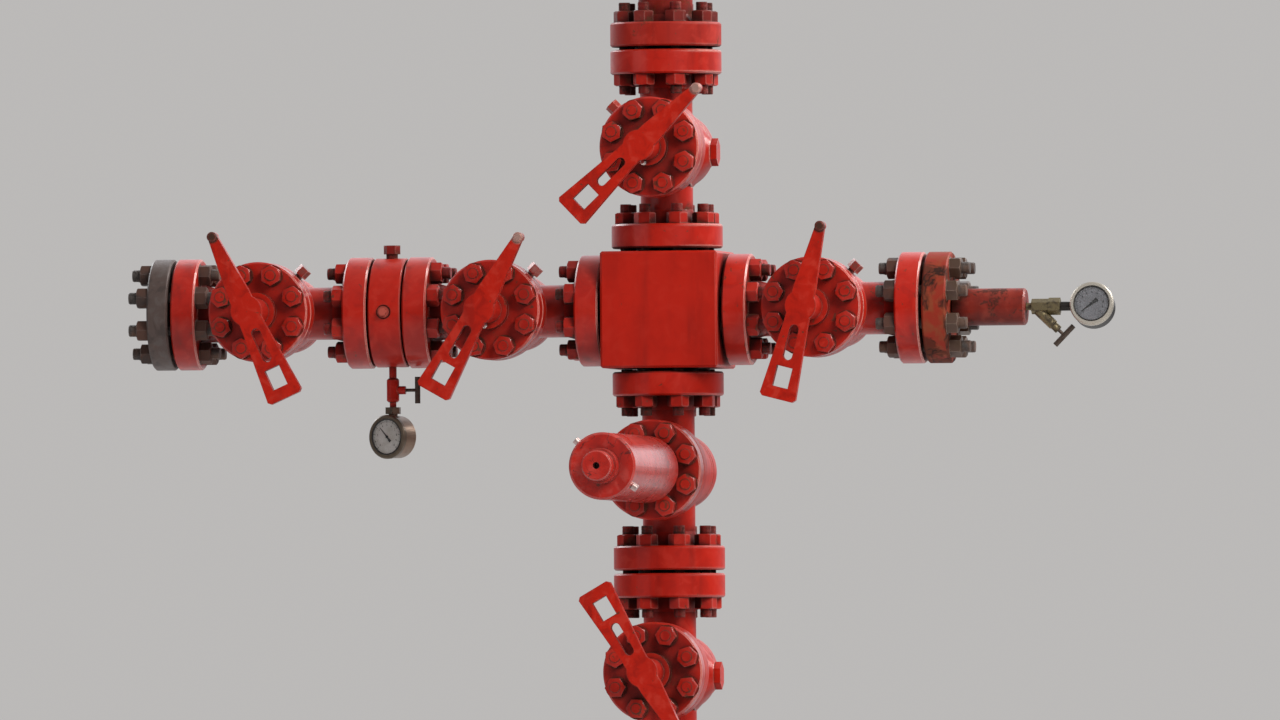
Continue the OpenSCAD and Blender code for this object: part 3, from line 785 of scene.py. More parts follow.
class NodeTool:
    """A Geometry Nodes tree with named inputs, which is run once for each use."""

    def __init__(self, name: str, counts: Sequence[str], sizes: Sequence[str]) -> None:
        """Makes the tree's interface.

        Args:
            name: The tree's name.
            counts: The names of the inputs that are whole numbers.
            sizes: The names of the other inputs.
        """
        self.tree = bpy.data.node_groups.new(name, "GeometryNodeTree")
        self.graph = Graph(self.tree)
        self.tree.interface.new_socket("Geometry", in_out="OUTPUT", socket_type="NodeSocketGeometry")
        kinds = {"Int": counts, "Float": sizes, "Material": ("Finish",)}
        for kind, labels in kinds.items():
            for label in labels:
                self.tree.interface.new_socket(label, in_out="INPUT", socket_type=f"NodeSocket{kind}")
        self.source = self.graph.node("NodeGroupInput")

    def value(self, label: str) -> Field:
        """One of the tree's inputs, as a number for expressions."""
        return Field(self.graph, self.source.outputs[label])

    def vector(self, **parts: Number) -> bpy.types.NodeSocket:
        """A vector from its X, Y and Z, with 0 for what isn't given."""
        return self.graph.node("ShaderNodeCombineXYZ", None, parts).outputs["Vector"]

    def solid(self, kind: str, sockets: dict[str, object], lift: Number) -> bpy.types.NodeSocket:
        """A primitive, moved along Z.

        Args:
            kind: The primitive's node type.
            sockets: Its sizes.
            lift: How far it is moved up.

        Returns:
            The geometry's socket.
        """
        made = self.graph.node(kind, None, sockets)
        moved = self.graph.node(
            "GeometryNodeTransform", None, {"Geometry": made.outputs[0], "Translation": self.vector(Z=lift)}
        )
        return moved.outputs["Geometry"]

    def copies(self, points: bpy.types.NodeSocket, piece: bpy.types.NodeSocket,
               **sockets: object) -> bpy.types.NodeSocket:
        """Puts a copy of a piece on every point.

        Args:
            points: The points' socket.
            piece: The piece's socket.
            **sockets: Further inputs, such as the copies' Rotation.

        Returns:
            The instances' socket.
        """
        made = self.graph.node(
            "GeometryNodeInstanceOnPoints", None, {"Points": points, "Instance": piece, **sockets}
        )
        return made.outputs["Instances"]

    def together(self, *parts: bpy.types.NodeSocket) -> bpy.types.NodeSocket:
        """Puts several geometries in one.

        Args:
            *parts: Their sockets.

        Returns:
            The joined geometry's socket.
        """
        made = self.graph.node("GeometryNodeJoinGeometry")
        for part in parts:
            self.graph.feed(made.inputs[0], part)
        return made.outputs[0]

    def close(self, instances: bpy.types.NodeSocket) -> None:
        """Ends the tree: the instances are realized and given their finish.

        Args:
            instances: The instances' socket.
        """
        real = self.graph.node("GeometryNodeRealizeInstances", None, {"Geometry": instances})
        coated = self.graph.node(
            "GeometryNodeSetMaterial", None,
            {"Geometry": real.outputs["Geometry"], "Material": self.source.outputs["Finish"]},
        )
        end = self.graph.node("NodeGroupOutput")
        self.graph.feed(end.inputs[0], coated.outputs["Geometry"])

    def run(self, finish: bpy.types.Material, place: Matrix, **sizes: float) -> bpy.types.Mesh:
        """Runs the tree.

        Args:
            finish: The material of the result.
            place: Where the result goes.
            **sizes: The inputs' values, with underscores for spaces.

        Returns:
            A plain mesh, in place.
        """
        carrier = bpy.data.objects.new("carrier", bpy.data.meshes.new("carrier"))
        modifier = carrier.modifiers.new("tool", "NODES")
        modifier.node_group = self.tree
        items = self.tree.interface.items_tree
        for label, value in {**sizes, "Finish": finish}.items():
            modifier[items[label.replace("_", " ")].identifier] = value
        mesh = harvest(carrier)
        mesh.transform(place)
        return mesh


class FastenerTool(NodeTool):
    """What the tools for studs and for nuts share: a circle of evenly spaced pieces."""

    def __init__(self, name: str, sizes: Sequence[str], counts: Sequence[str] = ()) -> None:
        """Adds the circle's own inputs to the piece's sizes and whole numbers."""
        super().__init__(name, ("Count", "Seed", *counts), ("Circle", "Phase", "Spin", *sizes))

    def ring(self, piece: bpy.types.NodeSocket) -> bpy.types.NodeSocket:
        """Copies a piece round a circle, each turned about its own axis by chance.

        Args:
            piece: The piece, which stands on the origin.

        Returns:
            The instances' socket.
        """
        take = self.source.outputs
        circle = self.graph.node(
            "GeometryNodeMeshCircle", None, {"Vertices": take["Count"], "Radius": take["Circle"]}
        )
        turned = self.graph.node(
            "GeometryNodeTransform", None,
            {"Geometry": circle.outputs["Mesh"], "Rotation": self.vector(Z=take["Phase"])},
        )
        chance = self.graph.node(
            "FunctionNodeRandomValue", {"data_type": "FLOAT"}, {"Seed": take["Seed"], 3: take["Spin"]}
        )
        return self.copies(turned.outputs["Geometry"], piece, Rotation=self.vector(Z=chance.outputs[1]))


class StudTool(FastenerTool):
    """Threaded studs on a circle: a core with a stack of thread crests at each end."""

    THREAD_PITCH = 0.0032
    THREAD_ROOT = 0.93
    CREST_SHARE = 0.5
    SIDES = 16

    def __init__(self) -> None:
        """Builds the tree."""
        super().__init__("studs", ("Stud Radius", "Bottom", "Top"), ("Crests",))
        radius, low, high = self.value("Stud Radius"), self.value("Bottom"), self.value("Top")
        core = self.solid(
            "GeometryNodeMeshCylinder",
            {"Vertices": self.SIDES, "Radius": radius * self.THREAD_ROOT, "Depth": high - low},
            (low + high) * 0.5,
        )
        pitch = self.THREAD_PITCH
        crest = self.graph.node(
            "GeometryNodeMeshCylinder", None,
            {"Vertices": self.SIDES, "Radius": radius, "Depth": pitch * self.CREST_SHARE},
        )
        stacks = []
        for start, step in ((high - pitch, -pitch), (low + pitch, pitch)):
            line = self.graph.node(
                "GeometryNodeMeshLine", None,
                {"Count": self.source.outputs["Crests"], "Start Location": self.vector(Z=start),
                 "Offset": (0.0, 0.0, step)},
            )
            stacks.append(self.copies(line.outputs["Mesh"], crest.outputs["Mesh"]))
        self.close(self.ring(self.together(core, *stacks)))


class NutTool(FastenerTool):
    """Heavy hex nuts or bolt heads on a circle, chamfered at the top, each on a washer if it has one."""

    CHAMFER_SLOPE = math.tan(math.radians(60.0))
    CHAMFER_RADIUS = 0.47
    CHAMFER_SIDES = 36
    PAST = 0.002
    WASHER_RADIUS = 0.6
    WASHER_SIDES = 28
    LEAST_WASHER = 0.0004

    def __init__(self) -> None:
        """Builds the tree: a hexagon cut by a cone that reaches a little past both of its ends."""
        super().__init__("nuts", ("Across Flats", "Height", "Seat", "Washer"))
        flats, height = self.value("Across Flats"), self.value("Height")
        seat, washer = self.value("Seat"), self.value("Washer")
        prism = self.solid(
            "GeometryNodeMeshCylinder",
            {"Vertices": 6, "Radius": flats * (0.5 / math.cos(math.pi / 6.0)), "Depth": height},
            seat + washer + height * 0.5,
        )
        slope, past, top = self.CHAMFER_SLOPE, self.PAST, self.CHAMFER_RADIUS
        cone = self.solid(
            "GeometryNodeMeshCone",
            {"Vertices": self.CHAMFER_SIDES, "Radius Top": flats * top - past * slope,
             "Radius Bottom": flats * top + (height + past) * slope, "Depth": height + 2.0 * past},
            seat + washer - past,
        )
        shape = self.graph.node("GeometryNodeMeshBoolean", {"operation": "INTERSECT", "solver": "EXACT"})
        for part in (prism, cone):
            self.graph.feed(shape.inputs["Mesh 2"], part)
        disc = self.solid(
            "GeometryNodeMeshCylinder",
            {"Vertices": self.WASHER_SIDES, "Radius": flats * self.WASHER_RADIUS,
             "Depth": washer.most(self.LEAST_WASHER)},
            seat + washer * 0.5,
        )
        self.close(self.ring(self.together(shape.outputs[0], disc)))


class TickTool(NodeTool):
    """Marks set round an arc, each pointing to the centre."""

    CLEAR = 0.0001

    def __init__(self) -> None:
        """Builds the tree."""
        super().__init__("ticks", ("Count",), ("Sweep", "Radius", "Long", "Wide", "High"))
        take = self.source.outputs
        bar = self.graph.node(
            "GeometryNodeMeshCube", None, {"Size": self.vector(X=take["Wide"], Y=take["Long"], Z=take["High"])}
        )
        line = self.graph.node("GeometryNodeMeshLine", None, {"Count": take["Count"]})
        index = self.graph.field("GeometryNodeInputIndex", 0)
        angle = (index / (self.value("Count") - 1.0) - 0.5) * self.value("Sweep")
        radius = self.value("Radius")
        spot = self.vector(X=angle.sine() * radius, Y=angle.cosine() * radius,
                           Z=self.value("High") * 0.5 + self.CLEAR)
        placed = self.graph.node(
            "GeometryNodeSetPosition", None, {"Geometry": line.outputs["Mesh"], "Position": spot}
        )
        self.close(self.copies(placed.outputs["Geometry"], bar.outputs["Mesh"],
                               Rotation=self.vector(Z=0.0 - angle)))


@dataclass(frozen=True)
class BoltSize:
    """One size of stud with its nut."""

    stud: float
    flats: float
    nut: float
    stick_out: float


@dataclass(frozen=True)
class BoltCircle:
    """A circle of bolts: its diameter, how many there are, and their size."""

    circle: float
    count: int
    bolts: BoltSize


@dataclass(frozen=True)
class FlangeSize:
    """One size of flange: how thick it is and how it is bolted."""

    thick: float
    bolting: BoltCircle


@dataclass
class FlangeJoint:
    """The studs and nuts that clamp one flanged joint, with the two nut seats along its direction."""

    at: Vector
    direction: Direction
    back: float
    front: float
    bolting: BoltCircle
    back_nuts: bool = True
    front_nuts: bool = True
    nuts: Finish = Finish.NUT_RED
    back_finish: Optional[Finish] = None
    studs: Finish = Finish.STUD_RED


@dataclass
class Fasteners:
    """Every stud, nut and bolt head on the tree, gathered by finish."""

    shop: Paintshop
    studs: StudTool = field(default_factory=StudTool)
    nuts: NutTool = field(default_factory=NutTool)
    parts: dict[Finish, list[bpy.types.Mesh]] = field(default_factory=dict)
    used: int = 0
    root: float = 0.002
    head_root: float = 0.001
    head_crests: int = 2

    def _keep(self, finish: Finish, mesh: bpy.types.Mesh) -> None:
        """Files a mesh under its finish."""
        self.parts.setdefault(finish, []).append(mesh)

    def _ring(self, bolting: BoltCircle) -> dict[str, float]:
        """The inputs of the next circle.

        Args:
            bolting: The circle.

        Returns:
            Values by which the bolts straddle the axes and each nut stops at an angle of its own.
        """
        self.used += 1
        return {"Count": bolting.count, "Circle": bolting.circle / 2.0, "Phase": math.pi / bolting.count,
                "Spin": math.tau, "Seed": SEED + self.used}

    def _fit_nuts(self, finish: Finish, place: Matrix, ring: dict[str, float], bolts: BoltSize, seat: float,
                  washer: float = 0.0) -> None:
        """Fits a circle of nuts.

        Args:
            finish: Their finish.
            place: The circle's place.
            ring: The circle's inputs.
            bolts: The bolts' size.
            seat: Where they sit along the circle's axis.
            washer: The washers' thickness.
        """
        self._keep(finish, self.nuts.run(
            self.shop.get(finish), place, **ring, Across_Flats=bolts.flats, Height=bolts.nut, Seat=seat,
            Washer=washer,
        ))

    def clamp(self, joint: FlangeJoint) -> None:
        """Fits one joint's studs and nuts.

        Args:
            joint: The joint.
        """
        bolts, place, ring = joint.bolting.bolts, joint.direction.frame(joint.at), self._ring(joint.bolting)
        reach = bolts.nut + bolts.stick_out
        self._keep(joint.studs, self.studs.run(
            self.shop.get(joint.studs), place, **ring, Stud_Radius=bolts.stud / 2.0,
            Bottom=joint.back - (reach if joint.back_nuts else -self.root), Top=joint.front + reach,
            Crests=int(bolts.stick_out / StudTool.THREAD_PITCH),
        ))
        if joint.front_nuts:
            self._fit_nuts(joint.nuts, place, ring, bolts, joint.front)
        if joint.back_nuts:
            flip = place @ Matrix.Rotation(math.pi, 4, "X")
            self._fit_nuts(joint.back_finish or joint.nuts, flip, ring, bolts, -joint.back)

    def heads(self, at: Vector, direction: Direction, bolting: BoltCircle, washer: float,
              finish: Finish = Finish.NUT_RED) -> None:
        """Fits a circle of bolt heads or cap nuts on a cover.

        Args:
            at: The circle's centre, on the cover's face.
            direction: The face's outward direction.
            bolting: The cover's bolt circle.
            washer: The washers' thickness.
            finish: The heads' finish.
        """
        bolts, place, ring = bolting.bolts, direction.frame(at), self._ring(bolting)
        self._fit_nuts(finish, place, ring, bolts, 0.0, washer)
        self._keep(finish, self.studs.run(
            self.shop.get(finish), place, **ring, Stud_Radius=bolts.stud / 2.0, Bottom=self.head_root,
            Top=washer + bolts.nut + bolts.stick_out, Crests=self.head_crests,
        ))

    def finish(self) -> None:
        """Joins what was made into one piece for each finish, riding on the tree."""
        for finish, meshes in self.parts.items():
            name = f"fasteners_{finish.value.name}"
            thing = add_object(name, join_meshes(name, meshes), SMOOTH_ANGLE)
            self.shop.coat(thing, finish)
            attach(thing, TREE_BODY)
            "red_paint" if isinstance(finish.value, PaintedSteel) else "bare_steel"
            LOG.info("%s: %d faces", name, len(thing.data.polygons))


@dataclass
class Tree:
    """The stack's joints and valve covers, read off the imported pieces, and their bolting."""

    fasteners: Fasteners
    run: FlangeSize = FlangeSize(0.058, BoltCircle(0.2032, 8, BoltSize(0.0286, 0.046, 0.028, 0.02)))
    tubing: FlangeSize = FlangeSize(0.092, BoltCircle(0.3175, 12, BoltSize(0.0349, 0.055, 0.035, 0.024)))
    casing: FlangeSize = FlangeSize(0.070, BoltCircle(0.4699, 16, BoltSize(0.0349, 0.055, 0.035, 0.024)))
    outlet: FlangeSize = FlangeSize(0.046, BoltCircle(0.1651, 8, BoltSize(0.0222, 0.036, 0.022, 0.014)))
    bonnet: BoltCircle = BoltCircle(0.188, 8, BoltSize(0.026, 0.044, 0.024, 0.003))
    rear: BoltCircle = BoltCircle(0.142, 8, BoltSize(0.018, 0.030, 0.018, 0.003))
    bonnet_face: float = -0.270
    bonnet_washer: float = 0.004
    outlet_gap: float = 0.008
    valves: tuple[str, ...] = ("lower_master", "upper_master", "swab", "inner_wing", "outer_wing", "right_wing")

    def build(self) -> None:
        """Bolts every joint and every cover."""
        self._run_joints()
        self._arm_joints()
        self._outlet_joints()
        for valve in self.valves:
            self._covers(valve)

    def _clamp_run(self, below: str, above: str, size: FlangeSize, tapped: bool = False,
                   nuts: Finish = Finish.NUT_RED) -> None:
        """Bolts a joint on the vertical run.

        Args:
            below: The lower piece.
            above: The upper piece.
            size: The flanges' size.
            tapped: Whether the studs are screwed into the lower piece.
            nuts: The upper nuts' finish.
        """
        seam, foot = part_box(above)[0].z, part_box(below)[1].z
        back = foot - (0.0 if tapped else size.thick) - seam
        self.fasteners.clamp(FlangeJoint(
            Vector((0.0, 0.0, seam)), Direction.UP, back, size.thick, size.bolting, back_nuts=not tapped,
            nuts=nuts, back_finish=Finish.NUT_RED,
        ))

    def _run_joints(self) -> None:
        """Bolts the vertical run from the casing head to the tree cap."""
        self._clamp_run("casing_head", "tubing_head", self.casing)
        self._clamp_run("tubing_head", "tubing_adapter", self.tubing)
        self._clamp_run("tubing_adapter", "lower_master_body", self.run)
        self._clamp_run("lower_master_body", "upper_master_body", self.run)
        self._clamp_run("cross_block", "swab_body", self.run, tapped=True)
        self._clamp_run("swab_body", "cap_adapter", self.run, nuts=Finish.NUT_DEEP)
        bottom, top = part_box("cross_block")[0].z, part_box("upper_master_body")[1].z
        self.fasteners.clamp(FlangeJoint(
            Vector((0.0, 0.0, bottom)), Direction.DOWN, 0.0, bottom - top + self.run.thick, self.run.bolting,
            back_nuts=False,
        ))

    def _clamp_arm(self, x: float, direction: Direction, back: float, front: float, **options: object) -> None:
        """Bolts a joint on the arms, with its seam at x; the options are the joint's other fields."""
        at = Vector((x, 0.0, centre_of("cross_block").z))
        self.fasteners.clamp(FlangeJoint(at, direction, back, front, self.run.bolting, **options))

    def _arm_joints(self) -> None:
        """Bolts the two arms from the block outwards."""
        thick, right, left = self.run.thick, Direction.RIGHT, Direction.LEFT
        block_low, block_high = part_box("cross_block")
        right_low, right_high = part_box("right_wing_body")
        inner_low, inner_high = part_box("inner_wing_body")
        outer_low, outer_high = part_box("outer_wing_body")
        companion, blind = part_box("companion_flange")[1].x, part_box("blind_flange")[0].x
        self._clamp_arm(block_high.x, right, 0.0, right_low.x + thick - block_high.x, back_nuts=False)
        self._clamp_arm(block_low.x, left, 0.0, block_low.x - inner_high.x + thick, back_nuts=False)
        self._clamp_arm(companion, right, right_high.x - thick - companion, 0.0, nuts=Finish.NUT_TAN,
                        back_finish=Finish.NUT_BROWN, studs=Finish.STUD)
        self._clamp_arm(inner_low.x, left, -thick, inner_low.x - outer_high.x + thick)
        self._clamp_arm(blind, left, blind - outer_low.x - thick, 0.0, front_nuts=False,
                        nuts=Finish.NUT_BROWN, studs=Finish.STUD)

    def _outlet_joints(self) -> None:
        """Bolts the blind flanges of the casing and tubing heads' side outlets."""
        back = -2.0 * self.outlet.thick - self.outlet_gap
        for blinds in ("casing_outlet_blinds", "tubing_outlet_blinds"):
            low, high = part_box(blinds)
            z = centre_of(blinds).z
            for direction, x in ((Direction.RIGHT, high.x), (Direction.LEFT, low.x)):
                self.fasteners.clamp(
                    FlangeJoint(Vector((x, 0.0, z)), direction, back, 0.0, self.outlet.bolting)
                )

    def _covers(self, valve: str) -> None:
        """Bolts a valve's bonnet and its rear cover.

        Args:
            valve: The valve's name.
        """
        centre, back = centre_of(f"{valve}_bonnet"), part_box(f"{valve}_body")[1].y
        self.fasteners.heads(Vector((centre.x, self.bonnet_face, centre.z)), Direction.FRONT, self.bonnet,
                             self.bonnet_washer)
        self.fasteners.heads(Vector((centre.x, back, centre.z)), Direction.BACK, self.rear, 0.0)


@dataclass
class GaugeFace:
    """A pressure gauge's ring, dial marks, needle and window, and the finish of its case."""

    shop: Paintshop
    side: str
    normal: Vector
    case: Finish
    needle_angle: float
    needle_half: float = 0.0016
    needle_tail: float = 0.36
    needle_tip: float = 0.72
    needle_low: float = 0.0010
    needle_thick: float = 0.0005
    hub: tuple[tuple[float, float], ...] = (
        (0.0, 0.0003), (0.0036, 0.0003), (0.0036, 0.0016), (0.0028, 0.002), (0.0, 0.002),
    )
    radius: float = 0.043
    face_lift: float = 0.0035
    bezel_depth: float = 0.0075
    sweep: float = math.radians(270.0)
    majors: int = 11
    minors: int = 5
    long_mark: tuple[float, float] = (0.0065, 0.0011)
    short_mark: tuple[float, float] = (0.0035, 0.0005)
    mark_height: float = 0.0003
    mark_radius: float = 0.86
    number_radius: float = 0.66
    number_size: float = 0.17
    number_lift: float = 0.0004
    ring_wide: float = 0.0025
    glass_lift: float = 0.0022
    smooth_angle: float = math.radians(40.0)

    def build(self, ticks: TickTool) -> None:
        """Makes the face's pieces and coats the case, dark or pale behind its bezel.

        Args:
            ticks: The tool that sets marks round an arc.
        """
        middle = centre_of(f"{self.side}_gauge_dial")
        across = UP.cross(self.normal).normalized()
        up = self.normal.cross(across).normalized()
        turn = Matrix((across, up, self.normal)).transposed().to_4x4()
        place = Matrix.Translation(middle + self.normal * self.face_lift) @ turn
        edge = middle - self.normal * self.bezel_depth
        case = replace(self.case.value, name=f"{self.side}_gauge_metal", front=(edge, self.normal))
        self.shop.coat(bpy.data.objects[f"{self.side}_gauge_case"], case)
        self._add("marks", self._marks(ticks), place, Finish.INK)
        self._add("numbers", self._numbers(), place, Finish.INK)
        self._add("needle", self._needle(), place, Finish.INK)
        self._add("ring", self._ring(), place, Finish.BEZEL_DARK)
        self._add("glass", self._window(), place, Finish.GLASS)

    def _add(self, name: str, mesh: bpy.types.Mesh, place: Matrix, finish: Finish) -> None:
        """Sets one piece of the face in its place on the tree.

        Args:
            name: The piece's name, without its gauge's side.
            mesh: Its mesh, built round +Z at the origin.
            place: The face's place.
            finish: The piece's finish.
        """
        mesh.transform(place)
        thing = add_object(f"{self.side}_gauge_{name}", mesh, self.smooth_angle)
        self.shop.coat(thing, finish)
        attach(thing, TREE_BODY)
        LOG.info("%s: %d faces", thing.name, len(mesh.polygons))

    def _marks(self, ticks: TickTool) -> bpy.types.Mesh:
        """Prints the long and the short marks.

        Args:
            ticks: The tool that sets marks round an arc.

        Returns:
            Their mesh.
        """
        spaces = self.majors - 1
        kinds = ((spaces + 1, self.long_mark), (spaces * self.minors + 1, self.short_mark))
        made = [
            ticks.run(self.shop.get(Finish.INK), Matrix(), Count=count, Sweep=self.sweep,
                      Radius=self.radius * self.mark_radius, Long=long, Wide=wide, High=self.mark_height)
            for count, (long, wide) in kinds
        ]
        return join_meshes("marks", made)

    def _numbers(self) -> bpy.types.Mesh:
        """Prints a plain number at every long mark.

        Returns:
            Their mesh.
        """
        made = []
        reach = self.radius * self.number_radius
        for index in range(self.majors):
            angle = self.sweep * (index / (self.majors - 1) - 0.5)
            text = bpy.data.curves.new("number", "FONT")
            text.body = str(index)
            text.size = self.radius * self.number_size
            text.align_x = "CENTER"
            text.align_y = "CENTER"
            mesh = harvest(bpy.data.objects.new("number", text))
            spot = (math.sin(angle) * reach, math.cos(angle) * reach, self.number_lift)
            mesh.transform(Matrix.Translation(spot))
            made.append(mesh)
        return join_meshes("numbers", made)

    def _needle(self) -> bpy.types.Mesh:
        """Makes the needle, with its tail and its hub.

        Returns:
            Its mesh.
        """
        form = bmesh.new()
        half, tip, tail = self.needle_half, self.radius * self.needle_tip, self.radius * self.needle_tail
        point, butt = half * 0.3, half * 2.2
        outline = ((-point, tip), (point, tip), (half, 0.0), (butt, -tail), (-butt, -tail), (-half, 0.0))
        face = form.faces.new([form.verts.new((x, y, self.needle_low)) for x, y in outline])
        lifted = bmesh.ops.extrude_face_region(form, geom=[face])
        tops = [v for v in lifted["geom"] if isinstance(v, bmesh.types.BMVert)]
        bmesh.ops.translate(form, verts=tops, vec=UP * self.needle_thick)
        bmesh.ops.recalc_face_normals(form, faces=form.faces)
        mesh = to_mesh(form, "needle")
        mesh.transform(Matrix.Rotation(math.radians(self.needle_angle), 4, "Z"))
        return join_meshes("needle", [mesh, revolve(self.hub, 24)])

    def _ring(self) -> bpy.types.Mesh:
        """Makes the inner ring that holds the window.

        Returns:
            Its mesh.
        """
        outer, inner = self.radius, self.radius - self.ring_wide
        return revolve(((inner, 0.0002), (outer, 0.0002), (outer, 0.003), (outer - 0.0008, 0.0032),
                        (inner, 0.0022), (inner, 0.0002)), 72)

    def _window(self) -> bpy.types.Mesh:
        """Makes the slightly domed glass.

        Returns:
            Its mesh.
        """
        r, low = self.radius - self.ring_wide - 0.0001, self.glass_lift
        profile = ((0.0, low), (r, low), (r, low + 0.0003), (r * 0.6, low + 0.0006), (0.0, low + 0.0007))
        return revolve(profile, 64)


@dataclass
class Dressing:
    """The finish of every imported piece."""

    shop: Paintshop
    nodes: dict[str, bpy.types.Object]
    wearers: tuple[tuple[Finish, str], ...] = (
        (Finish.BASE, "base_plate"),
        (Finish.BLIND, "blind_flange"),
        (Finish.NUT_BROWN, "blind_fasteners"),
        (Finish.COMPANION, "companion_flange"),
        (Finish.GASKET, "ring_gaskets"),
        (Finish.RED_BLOCK, "cross_block"),
        (Finish.RED_STUB, "stub_pipe"),
        (Finish.RED_FACE, "inner_wing_bonnet outer_wing_bonnet right_wing_bonnet"),
        (Finish.RED_FACE_DARK, "swab_bonnet upper_master_bonnet lower_master_bonnet"),
        (Finish.RED_CAP, "cap_adapter cap_nut cap_plug"),
        (Finish.RED_GLOSS, "actuator_hub"),
        (Finish.TEE, "left_needle_handle right_needle_handle"),
        (Finish.BRASS, "right_needle_valve"),
        (Finish.DIAL_PALE, "left_gauge_dial"),
        (Finish.DIAL_GREY, "right_gauge_dial"),
    )
    lever_tip: float = 0.195
    lever_tip_plane: float = -0.432
    lever_front: float = -0.436
    bright_tips: tuple[str, ...] = ("inner_wing_lever", "swab_lever")
    bright_metal: tuple[Colour, float] = ((0.5, 0.3, 0.25), 0.6)
    stained_metal: tuple[Colour, float] = ((0.07, 0.03, 0.02), 0.3)
    port_radius: float = 0.088
    port_back: float = 0.040
    port_angles: tuple[float, ...] = (138.0, -35.0)
    fitting_reach: float = 0.139
    fitting_plane: float = -0.187
    fittings: dict[str, tuple[float, Colour]] = field(default_factory=lambda: {
        "inner_wing_body": (1.0, (0.5, 0.27, 0.24)), "outer_wing_body": (1.0, (0.2, 0.08, 0.065)),
        "right_wing_body": (1.0, (0.16, 0.07, 0.055)), "swab_body": (-1.0, (0.3, 0.05, 0.035)),
    })

    def build(self) -> None:
        """Coats each piece but the gauges' cases, which their faces coat."""
        finishes = {name: finish for finish, names in self.wearers for name in names.split()}
        for name, thing in self.nodes.items():
            if name.endswith("_gauge_case"):
                continue
            if name.endswith("_lever"):
                finish = self._lever_paint(name)
            elif name == "actuator_cylinder":
                finish = self._actuator_paint(name)
            elif name in self.fittings:
                finish = self._body_paint(name)
            elif name == "spacer_plugs":
                finish = self._plug_paint(name)
            else:
                finish = finishes.get(name, Finish.RED)
            self.shop.coat(thing, finish)
            LOG.info("%s: %s", name, thing.data.materials[0].name)

    def _lever_paint(self, name: str) -> PaintedSteel:
        """The paint of one lever.

        Args:
            name: The lever's name.

        Returns:
            Red paint that ends in bare or stained metal at the narrow end.
        """
        hub = centre_of(name.replace("_lever", "_bonnet"))
        points = [v.co for v in self.nodes[name].data.vertices if v.co.y < self.lever_front]
        far = max(points, key=lambda p: math.hypot(p.x - hub.x, p.z - hub.z))
        way = Vector((far.x - hub.x, 0.0, far.z - hub.z)).normalized()
        tip = hub + way * self.lever_tip
        colour, metallic = self.bright_metal if name in self.bright_tips else self.stained_metal
        spot = BareSpot((tip.x, self.lever_tip_plane, tip.z), 0.011, 0.02, colour, metallic)
        return replace(Finish.RED_LEVER.value, name=f"red_paint_{name}", bare=(spot,))

    def _body_paint(self, name: str) -> PaintedSteel:
        """The paint of a valve's body, worn thin on its injection fitting.

        Args:
            name: The body's name.

        Returns:
            Red paint with one worn spot.
        """
        side, colour = self.fittings[name]
        middle = centre_of(name.replace("_body", "_bonnet"))
        reach = self.fitting_reach * math.sqrt(0.5)
        point = (middle.x + side * reach, self.fitting_plane, middle.z + reach)
        worn = BareSpot(point, 0.012, 0.021, colour, 0.3)
        base = Finish.RED_WING if name == "right_wing_body" else Finish.RED
        # The body also carries the full painted highlight on edges that face right.
        return replace(base.value, name=f"red_paint_{name}", bleach=1.0, varnish=0.4, bare=(worn,))

    @staticmethod
    def _plug_paint(name: str) -> PaintedSteel:
        """The spacer plugs' paint, dark on top and chalky on the front plug.

        Args:
            name: The plugs' piece.

        Returns:
            Grimy red paint with one pale spot.
        """
        middle = centre_of("gauge_spacer")
        spot = BareSpot((middle.x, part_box(name)[0].y, middle.z), 0.010, 0.024, (0.45, 0.085, 0.06), 0.0)
        return replace(Finish.NUT_RED.value, name="red_paint_plugs", colour=(0.2, 0.012, 0.008), bare=(spot,))

    def _actuator_paint(self, name: str) -> PaintedSteel:
        """The actuator's paint, with its two bright ports.

        Args:
            name: The cylinder's name.

        Returns:
            Glossy red paint with two bare spots.
        """
        middle, end = centre_of("upper_master_bonnet").z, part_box(name)[0].y + self.port_back
        spots = tuple(
            BareSpot((self.port_radius * math.cos(a), end, middle + self.port_radius * math.sin(a)),
                     0.0105, 0.0115, (0.55, 0.4, 0.37), 0.7)
            for a in map(math.radians, self.port_angles)
        )
        return replace(Finish.RED_GLOSS.value, name="red_paint_ports", bare=spots)


@dataclass
class GreaseFittings:
    """The small bright fitting on the boss of every valve that has a lever."""

    shop: Paintshop
    valves: tuple[str, ...] = ("lower_master", "swab", "inner_wing", "outer_wing", "right_wing")
    boss_face: float = -0.300
    radius: float = 0.039
    angle: float = math.radians(-102.0)
    sides: int = 20
    profile: tuple[tuple[float, float], ...] = (
        (0.0, -0.001), (0.0068, -0.001), (0.0068, 0.004), (0.0048, 0.005), (0.0048, 0.011), (0.0064, 0.012),
        (0.0064, 0.016), (0.0042, 0.0185), (0.0, 0.0185),
    )

    def build(self) -> None:
        """Makes the fittings as one piece on the tree."""
        parts = []
        x, z = self.radius * math.cos(self.angle), self.radius * math.sin(self.angle)
        for valve in self.valves:
            centre = centre_of(f"{valve}_bonnet")
            mesh = revolve(self.profile, self.sides)
            mesh.transform(Direction.FRONT.frame(Vector((centre.x + x, self.boss_face, centre.z + z))))
            parts.append(mesh)
        thing = add_object("grease_fittings", join_meshes("grease_fittings", parts), SMOOTH_ANGLE)
        self.shop.coat(thing, Finish.CHROME)
        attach(thing, TREE_BODY)
        LOG.info("%s: %d faces", thing.name, len(thing.data.polygons))


